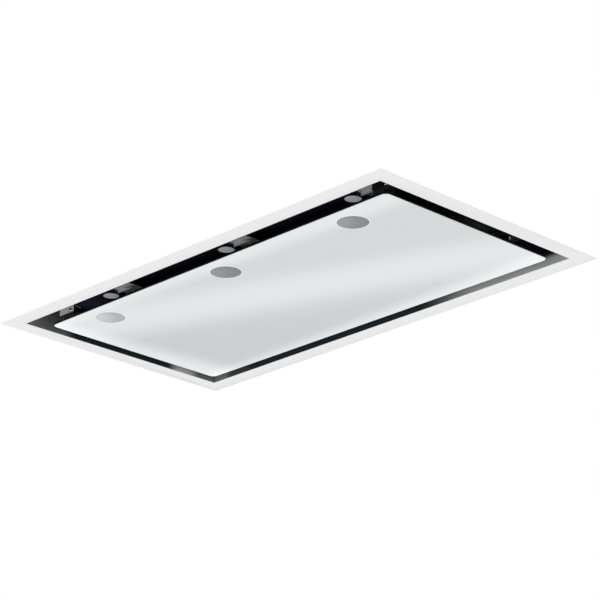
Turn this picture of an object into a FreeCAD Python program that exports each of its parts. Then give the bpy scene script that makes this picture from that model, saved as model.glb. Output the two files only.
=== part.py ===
import FreeCAD
import Part

import math
import os
import re

import Sketcher
from FreeCAD import Placement, Rotation, Vector

# A ceiling range hood with perimeter suction, in millimetres.
#
# The frame: z = 0 is the ceiling's lower surface, which the flange's upper face lies against.
# +X runs along the hood's long side and -Y is the side where the lamps are.
# The casing stands above z = 0, inside the ceiling, and only the flange and the white suction
# panel show below it.

SIZES = (
    # alias, value, what it is
    ("flange_length", 900, "outer length of the visible flange"),
    ("flange_width", 500, "outer width of the visible flange"),
    ("flange_end", 31, "flange width at the short sides"),
    ("flange_side", 32, "flange width at the long sides"),
    ("flange_metal", 1.2, "flange sheet thickness"),
    ("skirt_rise", 24, "height of the flange's upturned skirt"),
    ("casing_length", 866, "casing length, for a cut-out of 870"),
    ("casing_width", 466, "casing width, for a cut-out of 470"),
    ("casing_rise", 262, "height of the casing above the ceiling"),
    ("sheet_metal", 1, "casing sheet thickness"),
    ("rim", 10.5, "width of the folded rims of the casing"),
    ("seat_step", 0.2, "how far the casing's seat on the flange lies below the ceiling"),
    ("screw_level", 20, "height of the screws between skirt and recess wall"),
    ("screw_hole", 1.6, "radius of the holes for small screws"),
    ("large_hole", 2.1, "radius of the holes for the larger screws"),
    ("recess_depth", 61, "height of the recess roof above the ceiling"),
    ("bracket_metal", 1.2, "sheet thickness of lamp brackets, catches and filter rails"),
    ("slot_end", 24.1, "suction slot at the short sides"),
    ("slot_near", 37.6, "suction slot at the lamp side"),
    ("slot_far", 23.9, "suction slot at the hinge side"),
    ("panel_drop", 0.7, "how far the panel hangs below the flange"),
    ("glass", 4, "panel glass thickness"),
    ("glass_corner", 10, "panel corner radius"),
    ("glass_edge", 0.6, "chamfer around the panel's face"),
    ("pan_inset", 6, "distance from the glass edge to the backing pan"),
    ("pan_flange", 8, "width of the pan's bonding flange"),
    ("pan_rise", 9, "height of the backing pan"),
    ("pan_metal", 1, "backing pan sheet thickness"),
    ("lamp_pitch", 288, "spacing of the lamps"),
    ("lamp_shift", -6, "offset of the middle lamp from the centre"),
    ("lamp_row", -135.5, "where the lamp row lies across the hood"),
    ("lamp_level", 37, "height of the lamp faces above the ceiling"),
    ("lamp_lens", 13.6, "radius of a lamp's lens seat"),
    ("lamp_rim", 17, "radius of a lamp's trim ring"),
    ("lamp_back", 12, "radius of a lamp's stepped back"),
    ("lamp_depth", 6, "depth of a lamp from its face to its back"),
    ("lamp_cable", 4, "radius of the roof's holes for the lamps' leads"),
    ("window", 25.5, "radius of a lamp window in the panel"),
    ("window_lip", 28.5, "radius of the lip behind a window"),
    ("light_hole", 29, "radius of the pan's holes over the windows"),
    ("filter_length", 349, "length of a grease filter"),
    ("filter_width", 238, "width of a grease filter"),
    ("filter_height", 10, "thickness of a grease filter"),
    ("filter_bar", 14, "width of the filter's channel frame"),
    ("filter_pitch", 355, "spacing of the two filters"),
    ("filter_row", 41, "where the filters lie across the hood"),
    ("filter_gap", 4.5, "web between the slots of the filter"),
    ("latch_width", 23.4, "width of a filter latch's bolt"),
    ("latch_metal", 3.6, "thickness of a filter latch's bolt"),
    ("latch_level", 3, "height of a latch's bolt above the filter's lower face"),
    ("latch_play", 0.3, "clearance of a latch's bolt in its slots"),
    ("bridge", 22, "half the width of the bridge over a latch"),
    ("hinge_row", 184, "where the panel's hinge axis lies across the hood"),
    ("hinge_level", 16.1, "height of the panel's hinge axis"),
    ("hinge_reach", 300, "distance of each hinge from the centre"),
    ("hinge_metal", 1.5, "sheet thickness of the hinges"),
    ("knuckle", 4, "outer radius of a hinge knuckle"),
    ("pin", 2.5, "radius of a hinge pin"),
    ("running", 0.05, "running clearance on a radius"),
    ("catch_reach", 372, "distance of each catch from the centre"),
    ("catch_row", -160, "where the catches lie across the hood"),
    ("catch_level", 12.4, "height of the magnets' lower faces"),
    ("magnet_rise", 15.6, "height of a magnet's case"),
    ("fan_row", -36, "where the fan axis lies across the hood"),
    ("fan_level", 164, "height of the fan axis"),
    ("wheel", 68, "impeller radius"),
    ("wheel_eye", 56, "inner radius of the blades"),
    ("wheel_half", 72, "half the impeller's length"),
    ("blades", 32, "number of blades"),
    ("blade_metal", 1, "blade thickness"),
    ("scroll_start", 74, "scroll radius at its tongue"),
    ("scroll_end", 108, "scroll radius where its outlet begins"),
    ("scroll_half", 75, "half the scroll's length"),
    ("scroll_wall", 1.5, "scroll wall thickness"),
    ("shaft", 4, "motor shaft radius"),
    ("motor", 38, "motor radius"),
    ("duct", 74.5, "outside radius of the outlet spigot, for a duct of 150"),
    ("duct_wall", 1.5, "wall of the outlet spigot"),
    ("duct_row", 36.5, "where the outlet lies across the hood"),
    ("duct_rise", 45, "height of the outlet spigot"),
    ("spindle", 1.5, "radius of the damper spindle"),
    ("spindle_level", 9.2, "height of the damper spindle above the casing"),
    ("flap_metal", 1, "damper flap thickness"),
    ("hanger_reach", 390, "distance of the hanging brackets from the centre"),
    ("hanger_row", 150, "where the hanging brackets stand across the hood"),
    ("hanger_rise", 30, "height of the hanging brackets"),
    ("hanger_hole", 4.5, "radius of the holes for the hanging rods"),
    ("gland_bore", 5, "radius of the cable entry"),
    ("gland_thread", 10, "radius of the cable gland's thread"),
    ("gland_flats", 26, "width of the cable gland's hexagons across their flats"),
)
ALIASES = {alias for alias, _, _ in SIZES}

OPENING_X = "flange_length / 2 - flange_end"
OPENING_Y = "flange_width / 2 - flange_side"
INSIDE_X = "casing_length / 2 - sheet_metal"
INSIDE_Y = "casing_width / 2 - sheet_metal"
RIM_ROW = f"{INSIDE_Y} - rim / 2"
PANEL_X = f"{OPENING_X} - slot_end"
PANEL_NEAR = f"-({OPENING_Y}) + slot_near"
PANEL_FAR = f"{OPENING_Y} - slot_far"
PANEL_FACE = "-flange_metal - panel_drop"

SIDES = {"left": -1, "right": 1}
LAMPS = {
    "left": "lamp_shift - lamp_pitch",
    "centre": "lamp_shift",
    "right": "lamp_shift + lamp_pitch",
}

# Screw positions: along a wall, or as x and y from the middle of the piece that they hold.
FRAME_SCREWS_X = ("-280", "0", "280")
FRAME_SCREWS_Y = ("-110", "110")
COVER_SCREWS_X = ("-370", "-125", "125", "370")
LAMP_FOOT = (("16.5", "9"),)
CATCH_FOOT = (("-11", "3"), ("11", "3"))
CATCH_FRONT = ("11", "9.4")
HINGE_FOOT = (("-13", "13"), ("13", "13"))
HINGE_LEAF = (("-16", "-20"), ("16", "-20"), ("0", "-44"))
HANGER_FOOT = (("-12", "-8"), ("12", "-8"))

# The lid's raised beads, by their ends along X and their middles across the hood.
BEADS_X = (("-330", "-190"), ("190", "330"))
BEADS_Y = ("-60", "0", "60")
BEAD_RISE = 1.5

GLAND_X = "-330"
GLAND_Y = "-150"

# The filter's core: its notch around the latch ends here, and it has this many slots.
NOTCH_END = "-filter_width / 2 + 57"
SLOT_COLUMNS = 36
SLOT_ROWS = 5

# The slot that a latch's bolt slides in, in heights above the filter's lower face.
BOLT_SLOT = ("latch_level - latch_play", "latch_level + latch_metal + latch_play")

# The fan housing's spiral, in degrees from the outlet's far side.
TONGUE_ANGLE = 60
SPIRAL_STEP = 30

MOTOR_ARMS = 3
MOTOR_VENTS = 16
ALONG_FAN = Rotation(Vector(0, 1, 0), 90)
HALF_TURN = Rotation(Vector(0, 0, 1), 180)

doc = FreeCAD.newDocument("ceiling_range_hood")
sheet = doc.addObject("Spreadsheet::Sheet", "Sizes")
for row, (alias, value, note) in enumerate(SIZES, start=1):
    sheet.set(f"A{row}", note)
    sheet.set(f"B{row}", str(value))
    sheet.setAlias(f"B{row}", alias)
doc.recompute()

PIECES = []


# ---------------------------------------------------------------- sizes and sketches


def on_sheet(text):
    """Turns the aliases in an expression into references to the sheet."""
    return re.sub(r"[a-z_]+", lambda word: "Sizes." + word[0] if word[0] in ALIASES else word[0], text)


def number(text):
    """The present value of an expression, for placing geometry before it is tied to the sheet."""
    return float(sheet.evalExpression(on_sheet(text)))


def body(label, x="0", y="0", z="0", turn=None):
    """A sub-part of its own, whose place follows the sheet."""
    piece = doc.addObject("PartDesign::Body", label)
    piece.Label = label
    if turn:
        piece.Placement = Placement(Vector(), turn)
    for axis, text in zip("xyz", (x, y, z)):
        piece.setExpression(f"Placement.Base.{axis}", on_sheet(text))
    PIECES.append(piece)
    return piece


def sketch_on(piece, role, level="0"):
    """A sketch on one of the piece's own origin planes, moved along the plane's normal to level."""
    sketch = piece.newObject("Sketcher::SketchObject", piece.Label + "_sketch")
    plane = next(feature for feature in piece.Origin.OriginFeatures if feature.Role == role)
    sketch.AttachmentSupport = (plane, [""])
    sketch.MapMode = "FlatFace"
    sketch.setExpression("AttachmentOffset.Base.z", on_sheet(level))
    return sketch


def tie(sketch, kind, *target, text):
    """Gives a dimension of the sketch the value of an expression."""
    index = sketch.addConstraint(Sketcher.Constraint(kind, *target, number(text)))
    sketch.setExpression(f"Constraints[{index}]", on_sheet(text))


def draw_outline(sketch, corners):
    """Closed straight sides through the corners, with both coordinates of each on the sheet."""
    points = [Vector(number(u), number(v), 0) for u, v in corners]
    first = sketch.GeometryCount
    count = len(points)
    sides = [Part.LineSegment(points[i], points[(i + 1) % count]) for i in range(count)]
    sketch.addGeometry(sides, False)
    for i in range(count):
        sketch.addConstraint(Sketcher.Constraint("Coincident", first + i, 2, first + (i + 1) % count, 1))
    for i, (u, v) in enumerate(corners):
        tie(sketch, "DistanceX", -1, 1, first + i, 1, text=u)
        tie(sketch, "DistanceY", -1, 1, first + i, 1, text=v)


def draw_circle(sketch, u, v, radius):
    """A circle whose centre and radius are on the sheet."""
    circle = Part.Circle(Vector(number(u), number(v), 0), Vector(0, 0, 1), number(radius))
    index = sketch.addGeometry(circle, False)
    tie(sketch, "DistanceX", -1, 1, index, 3, text=u)
    tie(sketch, "DistanceY", -1, 1, index, 3, text=v)
    tie(sketch, "Radius", index, text=radius)


def rectangle(u, v):
    """The corners of a rectangle between two values of u and two of v."""
    return [(u[0], v[0]), (u[1], v[0]), (u[1], v[1]), (u[0], v[1])]


def both(half):
    """The two ends of a span that is centred on zero."""
    return (f"-({half})", half)


def both_around(middle, half):
    """The two ends of a span around a middle."""
    return (f"{middle} - ({half})", f"{middle} + {half}")


def hexagon(flats):
    """The corners of a hexagon with a width across its flats."""
    half = f"{flats} / 2"
    tip = f"{flats} / {math.sqrt(3)}"
    step = f"{flats} / {2 * math.sqrt(3)}"
    return [
        (tip, "0"),
        (step, half),
        (f"-{step}", half),
        (f"-{tip}", "0"),
        (f"-{step}", f"-{half}"),
        (step, f"-{half}"),
    ]


# ---------------------------------------------------------------- features of a piece


def extrude(piece, axis, span, loops, cut=False):
    """Pads or cuts the area between the loops, from span[0] to span[1] along an axis.

    A loop is a list of corners, or a centre and a radius. Its coordinates are the two other axes
    in X, Y, Z order.
    """
    role, level = {
        "x": ("YZ_Plane", span[0]),
        "y": ("XZ_Plane", f"-({span[1]})"),
        "z": ("XY_Plane", span[0]),
    }[axis]
    sketch = sketch_on(piece, role, level)
    for loop in loops:
        if isinstance(loop, tuple):
            draw_circle(sketch, *loop)
        else:
            draw_outline(sketch, loop)
    kind = "Pocket" if cut else "Pad"
    feature = piece.newObject(f"PartDesign::{kind}", f"{piece.Label}_{kind.lower()}")
    feature.Profile = sketch
    feature.Reversed = cut
    feature.setExpression("Length", on_sheet(f"({span[1]}) - ({span[0]})"))
    return feature


def block(piece, x, y, z, cut=False):
    """A rectangular block, added or cut away."""
    return extrude(piece, "z", z, [rectangle(x, y)], cut)


def revolve(piece, corners):
    """Turns an outline of radius and height around the piece's own Z axis."""
    sketch = sketch_on(piece, "XZ_Plane")
    draw_outline(sketch, corners)
    feature = piece.newObject("PartDesign::Revolution", piece.Label + "_turned")
    feature.Profile = sketch
    feature.ReferenceAxis = (sketch, ["V_Axis"])
    feature.Angle = 360
    return feature


def dress(piece, kind, size, wanted):
    """Fillets or chamfers the edges of the piece's last feature that wanted picks."""
    doc.recompute()
    last = piece.Tip
    names = [f"Edge{i}" for i, edge in enumerate(last.Shape.Edges, start=1) if wanted(edge)]
    feature = piece.newObject(f"PartDesign::{kind}", f"{piece.Label}_{kind.lower()}")
    feature.Base = (last, names)
    feature.setExpression("Radius" if kind == "Fillet" else "Size", on_sheet(size))
    return feature


def is_upright(edge):
    """True for a straight edge along Z."""
    low, high = edge.BoundBox.ZMin, edge.BoundBox.ZMax
    return abs(edge.Length - (high - low)) < 1e-6


def plain(label, shape, x="0", y="0", z="0"):
    """A sub-part made of several solids, or of a form that is not padded or turned."""
    piece = doc.addObject("Part::Feature", label)
    piece.Label = label
    piece.Shape = shape
    piece.Placement = Placement(Vector(number(x), number(y), number(z)), Rotation())
    PIECES.append(piece)
    return piece


# ---------------------------------------------------------------- flange, recess and casing


def ring(grow_outer, grow_inner):
    """Two rectangles around the opening, each grown by an expression."""
    outer = rectangle(both(f"{OPENING_X} + {grow_outer}"), both(f"{OPENING_Y} + {grow_outer}"))
    inner = rectangle(both(f"{OPENING_X} + {grow_inner}"), both(f"{OPENING_Y} + {grow_inner}"))
    return [outer, inner]


def drill_for_frame_screws(piece):
    """Holes for the screws that join recess and flange, straight through both opposite walls."""
    along = [(x, "screw_level", "screw_hole") for x in FRAME_SCREWS_X]
    extrude(piece, "y", both(f"{OPENING_Y} + 4"), along, cut=True)
    across = [(y, "screw_level", "screw_hole") for y in FRAME_SCREWS_Y]
    extrude(piece, "x", both(f"{OPENING_X} + 4"), across, cut=True)


def ceiling_frame():
    """The white pressed flange, with a skirt that stands up around the recess."""
    piece = body("ceiling_frame")
    outer = rectangle(both("flange_length / 2"), both("flange_width / 2"))
    seat = rectangle(both("casing_length / 2 + 1"), both("casing_width / 2 + 1"))
    inner = rectangle(both(OPENING_X), both(OPENING_Y))
    extrude(piece, "z", ("-flange_metal", "-seat_step"), [outer, inner])
    extrude(piece, "z", ("-seat_step", "0"), [outer, seat])
    skirt = ring("sheet_metal + flange_metal", "sheet_metal")
    extrude(piece, "z", ("-seat_step", "skirt_rise"), skirt)
    drill_for_frame_screws(piece)


def suction_liner():
    """The steel wall of the recess, from the opening's edge up to the roof."""
    piece = body("suction_liner")
    wall_top = "recess_depth - sheet_metal"
    extrude(piece, "z", ("-seat_step", wall_top), ring("sheet_metal", "0"))
    shelf = rectangle(both(f"{INSIDE_X} - 0.5"), both(f"{INSIDE_Y} - 0.5"))
    inner = rectangle(both(OPENING_X), both(OPENING_Y))
    extrude(piece, "z", (wall_top, "recess_depth"), [shelf, inner])
    drill_for_frame_screws(piece)


def c_section(outer, level, top):
    """A folded panel's section: a wall at outer, with a rim turned inwards at each end."""
    inner = f"{outer} - sheet_metal"
    rim_edge = f"{outer} - sheet_metal - rim"
    return [
        (outer, level),
        (outer, top),
        (rim_edge, top),
        (rim_edge, f"{top} - sheet_metal"),
        (inner, f"{top} - sheet_metal"),
        (inner, f"{level} + sheet_metal"),
        (rim_edge, f"{level} + sheet_metal"),
        (rim_edge, level),
    ]


def casing_sides():
    """Two long folded panels, and two short ones whose rims lie between theirs."""
    top = "casing_rise - sheet_metal"
    for label, turn in (("casing_far", None), ("casing_near", HALF_TURN)):
        piece = body(label, turn=turn)
        section = c_section("casing_width / 2", "-seat_step", top)
        extrude(piece, "x", both("casing_length / 2"), [section])
        holes = [(x, RIM_ROW, "screw_hole") for x in COVER_SCREWS_X]
        extrude(piece, "z", (f"{top} - 2 * sheet_metal", f"{top} + 1"), holes, cut=True)
    for label, turn in (("casing_right", None), ("casing_left", HALF_TURN)):
        piece = body(label, turn=turn)
        level = "sheet_metal - seat_step"
        section = c_section("casing_length / 2", level, f"{top} - sheet_metal")
        extrude(piece, "y", both(INSIDE_Y), [section])


def foot_screws():
    """Where the feet under the roof are screwed to it: x, y and the foot's thickness."""
    feet = [(x, "lamp_row", LAMP_FOOT, "bracket_metal") for x in LAMPS.values()]
    for side in SIDES.values():
        feet.append((f"{side} * catch_reach", "catch_row", CATCH_FOOT, "bracket_metal"))
        feet.append((f"{side} * hinge_reach", "hinge_row", HINGE_FOOT, "hinge_metal"))
    return [(f"{x} + {u}", f"{y} + {v}", metal) for x, y, holes, metal in feet for u, v in holes]


def roof_plate():
    """The black roof of the recess, with upturned edges, two filter apertures and small holes."""
    piece = body("roof_plate")
    half_x = f"{INSIDE_X} - 0.5"
    half_y = f"{INSIDE_Y} - 0.5"
    level = ("recess_depth", "recess_depth + sheet_metal")
    apertures = []
    for side in "-+":
        near = f"{side}(filter_pitch / 2 - filter_length / 2 + 8)"
        far = f"{side}(filter_pitch / 2 + filter_length / 2 - 8)"
        apertures.append(rectangle((near, far), both_around("filter_row", "filter_width / 2 - 8")))
    leads = [(f"{x} - 8", "lamp_row", "lamp_cable") for x in LAMPS.values()]
    feet = [(x, y, "screw_hole") for x, y, _ in foot_screws()]
    plate = rectangle(both(half_x), both(half_y))
    extrude(piece, "z", level, [plate, *apertures, *leads, *feet])
    inside_lip = rectangle(both(f"{half_x} - sheet_metal"), both(f"{half_y} - sheet_metal"))
    extrude(piece, "z", (level[1], "recess_depth + 9"), [plate, inside_lip])


def top_cover():
    """The lid of the casing, stiffened by raised beads, with the outlet and the cable hole."""
    piece = body("top_cover")
    top = ("casing_rise - sheet_metal", "casing_rise")
    plate = rectangle(both("casing_length / 2"), both("casing_width / 2"))
    outlet = ("0", "duct_row", "duct - duct_wall")
    cable = (GLAND_X, GLAND_Y, "gland_thread + running")
    extrude(piece, "z", top, [plate, outlet, cable])
    beads = [rectangle(x, both_around(y, "7")) for x in BEADS_X for y in BEADS_Y]
    extrude(piece, "z", (top[1], f"{top[1]} + {BEAD_RISE}"), beads)
    floor = number(top[1])
    dress(piece, "Fillet", "6.5", lambda edge: is_upright(edge) and edge.BoundBox.ZMax > floor + 1)
    dress(piece, "Chamfer", "1", lambda edge: edge.BoundBox.ZMin > floor + 1)
    rims = [(x, f"{side}({RIM_ROW})", "screw_hole") for x in COVER_SCREWS_X for side in "-+"]
    feet = [(f"{sx}hanger_reach + {u}", f"{sy}(hanger_row + {v})", "large_hole")
            for sx in "-+" for sy in "-+" for u, v in HANGER_FOOT]
    extrude(piece, "z", (f"{top[0]} - 1", f"{top[1]} + 1"), rims + feet, cut=True)


# ---------------------------------------------------------------- grease filters


def filter_rails():
    """The folded strips under the roof that carry the filters' near and far edges."""
    roof = "recess_depth"
    foot = "recess_depth - bracket_metal"
    filter_face = "recess_depth - filter_height"
    near = "filter_row - filter_width / 2 - 1"
    long_side = both("filter_pitch / 2 + filter_length / 2")
    piece = body("filter_rail_near")
    section = [
        (f"{near} - 12", roof),
        (f"{near} - 12", foot),
        (f"{near} - bracket_metal", foot),
        (f"{near} - bracket_metal", filter_face),
        (near, filter_face),
        (near, roof),
    ]
    extrude(piece, "x", long_side, [section])
    slot = (f"{filter_face} + {BOLT_SLOT[0]}", f"{filter_face} + {BOLT_SLOT[1]}")
    for side in "-+":
        bolt = both_around(f"{side}filter_pitch / 2", "latch_width / 2 + 2 * latch_play")
        block(piece, bolt, (f"{near} - 2", f"{near} + 1"), slot, cut=True)

    far = "filter_row + filter_width / 2 + 1"
    lip = f"{filter_face} - 1.5"
    piece = body("filter_rail_far")
    section = [
        (f"{far} - 9", lip),
        (f"{far} + bracket_metal", lip),
        (f"{far} + bracket_metal", foot),
        (f"{far} + 13", foot),
        (f"{far} + 13", roof),
        (far, roof),
        (far, f"{lip} + bracket_metal"),
        (f"{far} - 9", f"{lip} + bracket_metal"),
    ]
    extrude(piece, "x", long_side, [section])


def at_filter(label, side):
    """A piece with its origin at the middle of a filter's lower face."""
    middle = f"{side} * filter_pitch / 2"
    return body(label, middle, "filter_row", "recess_depth - filter_height")


def filter_frame(name, side):
    """The channel frame of a grease filter, with a bridge over its latch."""
    piece = at_filter(f"filter_frame_{name}", side)
    outer = rectangle(both("filter_length / 2"), both("filter_width / 2"))
    inner = rectangle(both("filter_length / 2 - filter_bar"), both("filter_width / 2 - filter_bar"))
    extrude(piece, "z", ("0", "filter_height"), [outer, inner])
    near = "-filter_width / 2"
    block(piece, both("bridge"), (f"{near} + filter_bar", NOTCH_END), (BOLT_SLOT[1], "filter_height"))
    across = (f"{near} - 1", f"{near} + filter_bar + 1")
    block(piece, both("latch_width / 2 + latch_play"), across, BOLT_SLOT, cut=True)


def filter_mesh(name, side):
    """The filter's core: a plate with rows of air slots, notched around the latch."""
    piece = at_filter(f"filter_mesh_{name}", side)
    half_x = "filter_length / 2 - filter_bar"
    half_y = "filter_width / 2 - filter_bar"
    core = [
        (f"-({half_x})", f"-({half_y})"),
        ("-bridge", f"-({half_y})"),
        ("-bridge", NOTCH_END),
        ("bridge", NOTCH_END),
        ("bridge", f"-({half_y})"),
        (half_x, f"-({half_y})"),
        (half_x, half_y),
        (f"-({half_x})", half_y),
    ]
    extrude(piece, "z", ("2", "8"), [core])
    wide = f"((({half_x}) * 2 - filter_gap) / {SLOT_COLUMNS})"
    deep = f"((({half_y}) - ({NOTCH_END}) - filter_gap) / {SLOT_ROWS})"
    slot_x = (f"-({half_x}) + filter_gap", f"-({half_x}) + {wide}")
    slot_y = (f"{NOTCH_END} + filter_gap", f"{NOTCH_END} + {deep}")
    slot = block(piece, slot_x, slot_y, ("1", "9"), cut=True)
    pattern = piece.newObject("PartDesign::LinearPattern", piece.Label + "_slots")
    pattern.Originals = [slot]
    pattern.Direction = (axis_of(piece, "X_Axis"), [""])
    pattern.Direction2 = (axis_of(piece, "Y_Axis"), [""])
    pattern.setExpression("Length", on_sheet(f"{wide} * {SLOT_COLUMNS - 1}"))
    pattern.setExpression("Length2", on_sheet(f"{deep} * {SLOT_ROWS - 1}"))
    pattern.Occurrences = SLOT_COLUMNS
    pattern.Occurrences2 = SLOT_ROWS
    piece.Tip = pattern


def axis_of(piece, role):
    """One of the axes of the piece's own origin."""
    return next(feature for feature in piece.Origin.OriginFeatures if feature.Role == role)


def filter_latch(name, side):
    """The sliding bolt that holds a filter's near edge, with a finger grip under it."""
    piece = at_filter(f"filter_latch_{name}", side)
    near = "-filter_width / 2"
    level = ("latch_level", "latch_level + latch_metal")
    block(piece, both("latch_width / 2"), (f"{near} - 6", f"{near} + 48"), level)
    grip = [
        (f"{near} + 22", "latch_level"),
        (f"{near} + 25", "-5"),
        (f"{near} + 29", "-5"),
        (f"{near} + 38", "latch_level"),
    ]
    extrude(piece, "x", both("10"), [grip])


# ---------------------------------------------------------------- lamps


def lamps():
    """Three lamps in a row: a flat round body, its lens, and the bracket that hangs it."""
    seat = "3"
    for name, x in LAMPS.items():
        piece = body(f"lamp_body_{name}", x, "lamp_row", "lamp_level")
        revolve(piece, [
            ("0", seat),
            ("lamp_lens", seat),
            ("lamp_lens", "0"),
            ("lamp_rim - 0.6", "0"),
            ("lamp_rim", "0.6"),
            ("lamp_rim", "3.5"),
            ("lamp_back", "3.5"),
            ("lamp_back", "lamp_depth"),
            ("0", "lamp_depth"),
        ])

        piece = body(f"lamp_lens_{name}", x, "lamp_row", "lamp_level")
        revolve(piece, [
            ("0", "0.4"),
            ("lamp_lens - 0.9", "0.4"),
            ("lamp_lens - 0.1", "1.2"),
            ("lamp_lens - 0.1", seat),
            ("0", seat),
        ])
        lamp_bracket(name, x)


def lamp_bracket(name, x):
    """A folded bracket: a web beside the lamp, a foot on its back and a foot under the roof."""
    piece = body(f"lamp_bracket_{name}", x, "lamp_row", "lamp_level")
    roof = "recess_depth - lamp_level"
    web = [
        ("-3", "lamp_depth"),
        ("lamp_rim + 0.3", "lamp_depth"),
        ("lamp_rim + 0.3", "0"),
        ("57.5", "0"),
        (f"57.5 - {roof}", roof),
        ("-3", roof),
    ]
    extrude(piece, "y", ("0", "bracket_metal"), [web])
    block(piece, ("-3", "8"), ("bracket_metal", "8"), ("lamp_depth", "lamp_depth + bracket_metal"))
    block(piece, ("3", "30"), ("bracket_metal", "16"), (f"{roof} - bracket_metal", roof))
    holes = [(u, v, "screw_hole") for u, v in LAMP_FOOT]
    extrude(piece, "z", (f"{roof} - 2", f"{roof} + 1"), holes, cut=True)


# ---------------------------------------------------------------- fittings in the recess


def hinge_brackets():
    """The fixed half of each panel hinge, hanging from the roof, and the pin through it."""
    roof = "recess_depth - hinge_level"
    for name, side in SIDES.items():
        piece = body(f"hinge_bracket_{name}", f"{side} * hinge_reach", "hinge_row", "hinge_level")
        web = [
            ("-8", "0"),
            ("8", "0"),
            ("8", "8"),
            ("22", "14"),
            ("22", roof),
            ("-22", roof),
            ("-22", "14"),
            ("-8", "8"),
        ]
        extrude(piece, "y", both("0.75"), [web])
        extrude(piece, "x", both("8"), [("0", "0", "knuckle")])
        block(piece, both("22"), ("0.75", "22"), (f"{roof} - hinge_metal", roof))
        extrude(piece, "x", both("9"), [("0", "0", "pin")], cut=True)
        holes = [(u, v, "screw_hole") for u, v in HINGE_FOOT]
        extrude(piece, "z", (f"{roof} - 2", f"{roof} + 1"), holes, cut=True)

    radius = number("pin")
    pins = []
    for side in SIDES.values():
        shank = Part.makeCylinder(radius, 52, Vector(-26, 0, 0), Vector(1, 0, 0))
        head = Part.makeCylinder(radius + 1.2, 1.5, Vector(-27.5, 0, 0), Vector(1, 0, 0))
        pin = shank.fuse(head)
        pin.translate(Vector(side * number("hinge_reach"), 0, 0))
        pins.append(pin)
    plain("hinge_pins", Part.makeCompound(pins), y="hinge_row", z="hinge_level")


def magnet_catches():
    """Bright brackets that hang from the roof, each with a magnet over the panel's edge."""
    roof = "recess_depth - catch_level"
    for name, side in SIDES.items():
        piece = body(f"magnet_catch_{name}", f"{side} * catch_reach", "catch_row", "catch_level")
        section = [
            ("-7 - bracket_metal", "6"),
            ("-7", "6"),
            ("-7", "magnet_rise"),
            ("8", "magnet_rise"),
            ("8", "magnet_rise + bracket_metal"),
            ("-7", "magnet_rise + bracket_metal"),
            ("-7", f"{roof} - bracket_metal"),
            ("12", f"{roof} - bracket_metal"),
            ("12", roof),
            ("-7 - bracket_metal", roof),
        ]
        extrude(piece, "x", both("18"), [section])
        holes = [(u, v, "screw_hole") for u, v in CATCH_FOOT]
        extrude(piece, "z", (f"{roof} - 2", f"{roof} + 1"), holes, cut=True)
        extrude(piece, "y", ("-9", "-6.5"), [(*CATCH_FRONT, "screw_hole")], cut=True)

    magnets = []
    screw_x, screw_z = (number(text) for text in CATCH_FRONT)
    for side in SIDES.values():
        magnet = Part.makeBox(32, 15, number("magnet_rise"), Vector(-16, -7, 0))
        bore = Part.makeCylinder(1.5, 6, Vector(screw_x, -7, screw_z), Vector(0, 1, 0))
        magnet = magnet.cut(bore)
        magnet.translate(Vector(side * number("catch_reach"), 0, 0))
        magnets.append(magnet)
    plain("catch_magnets", Part.makeCompound(magnets), y="catch_row", z="catch_level")


# ---------------------------------------------------------------- fan


def scroll_radius(angle):
    """Radius of the scroll's spiral, which grows evenly from the tongue to the outlet."""
    share = (angle - TONGUE_ANGLE) / (360 - TONGUE_ANGLE)
    start = number("scroll_start")
    return start + (number("scroll_end") - start) * share


def scroll_point(angle):
    """A point of the spiral in the plane across the fan axis."""
    radius = scroll_radius(angle)
    turn = math.radians(angle)
    return Vector(0, radius * math.cos(turn), radius * math.sin(turn))


def scroll_wire(mouth):
    """The scroll's inner outline: arcs around the wheel, then the straight outlet up to mouth."""
    edges = []
    for angle in range(TONGUE_ANGLE, 360, 2 * SPIRAL_STEP):
        ends = [scroll_point(angle + turn) for turn in (0, SPIRAL_STEP, 2 * SPIRAL_STEP)]
        edges.append(Part.Arc(*ends).toShape())
    tongue = scroll_point(TONGUE_ANGLE)
    outlet = scroll_point(360)
    corners = [outlet, Vector(0, outlet.y, mouth), Vector(0, tongue.y, mouth), tongue]
    edges += [Part.LineSegment(a, b).toShape() for a, b in zip(corners, corners[1:])]
    return Part.Wire(edges)


def scroll_halves():
    """The fan housing: two moulded halves that meet at the middle, each with an inlet."""
    wall = number("scroll_wall")
    half = number("scroll_half")
    mouth = number("casing_rise - sheet_metal - fan_level")
    inner = Part.Face(scroll_wire(mouth))
    outer = inner.makeOffset2D(wall)
    trim = Part.makeBox(half, 400, 60, Vector(0, -200, mouth))
    tongue = scroll_point(TONGUE_ANGLE).y
    outlet = scroll_point(360).y
    for name, side in SIDES.items():
        shell = outer.extrude(Vector(half, 0, 0)).cut(trim)
        foot = Part.makeBox(half + 10, outlet - tongue + 20, wall, Vector(0, tongue - 10, mouth - wall))
        shell = shell.fuse(foot)
        lip = Part.makeCylinder(number("wheel_eye + 4"), 1.5, Vector(half, 0, 0), Vector(1, 0, 0))
        shell = shell.fuse(lip)
        shell = shell.cut(inner.extrude(Vector(half - wall, 0, 0)))
        eye = Part.makeCylinder(number("wheel_eye + 1"), 20, Vector(half - 10, 0, 0), Vector(1, 0, 0))
        shell = shell.cut(eye).removeSplitter()
        if side < 0:
            shell = shell.mirror(Vector(), Vector(1, 0, 0))
        plain(f"scroll_{name}", shell, y="fan_row", z="fan_level")


def at_fan(label):
    """A piece whose own Z axis lies along the fan axis."""
    return body(label, y="fan_row", z="fan_level", turn=ALONG_FAN)


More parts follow.
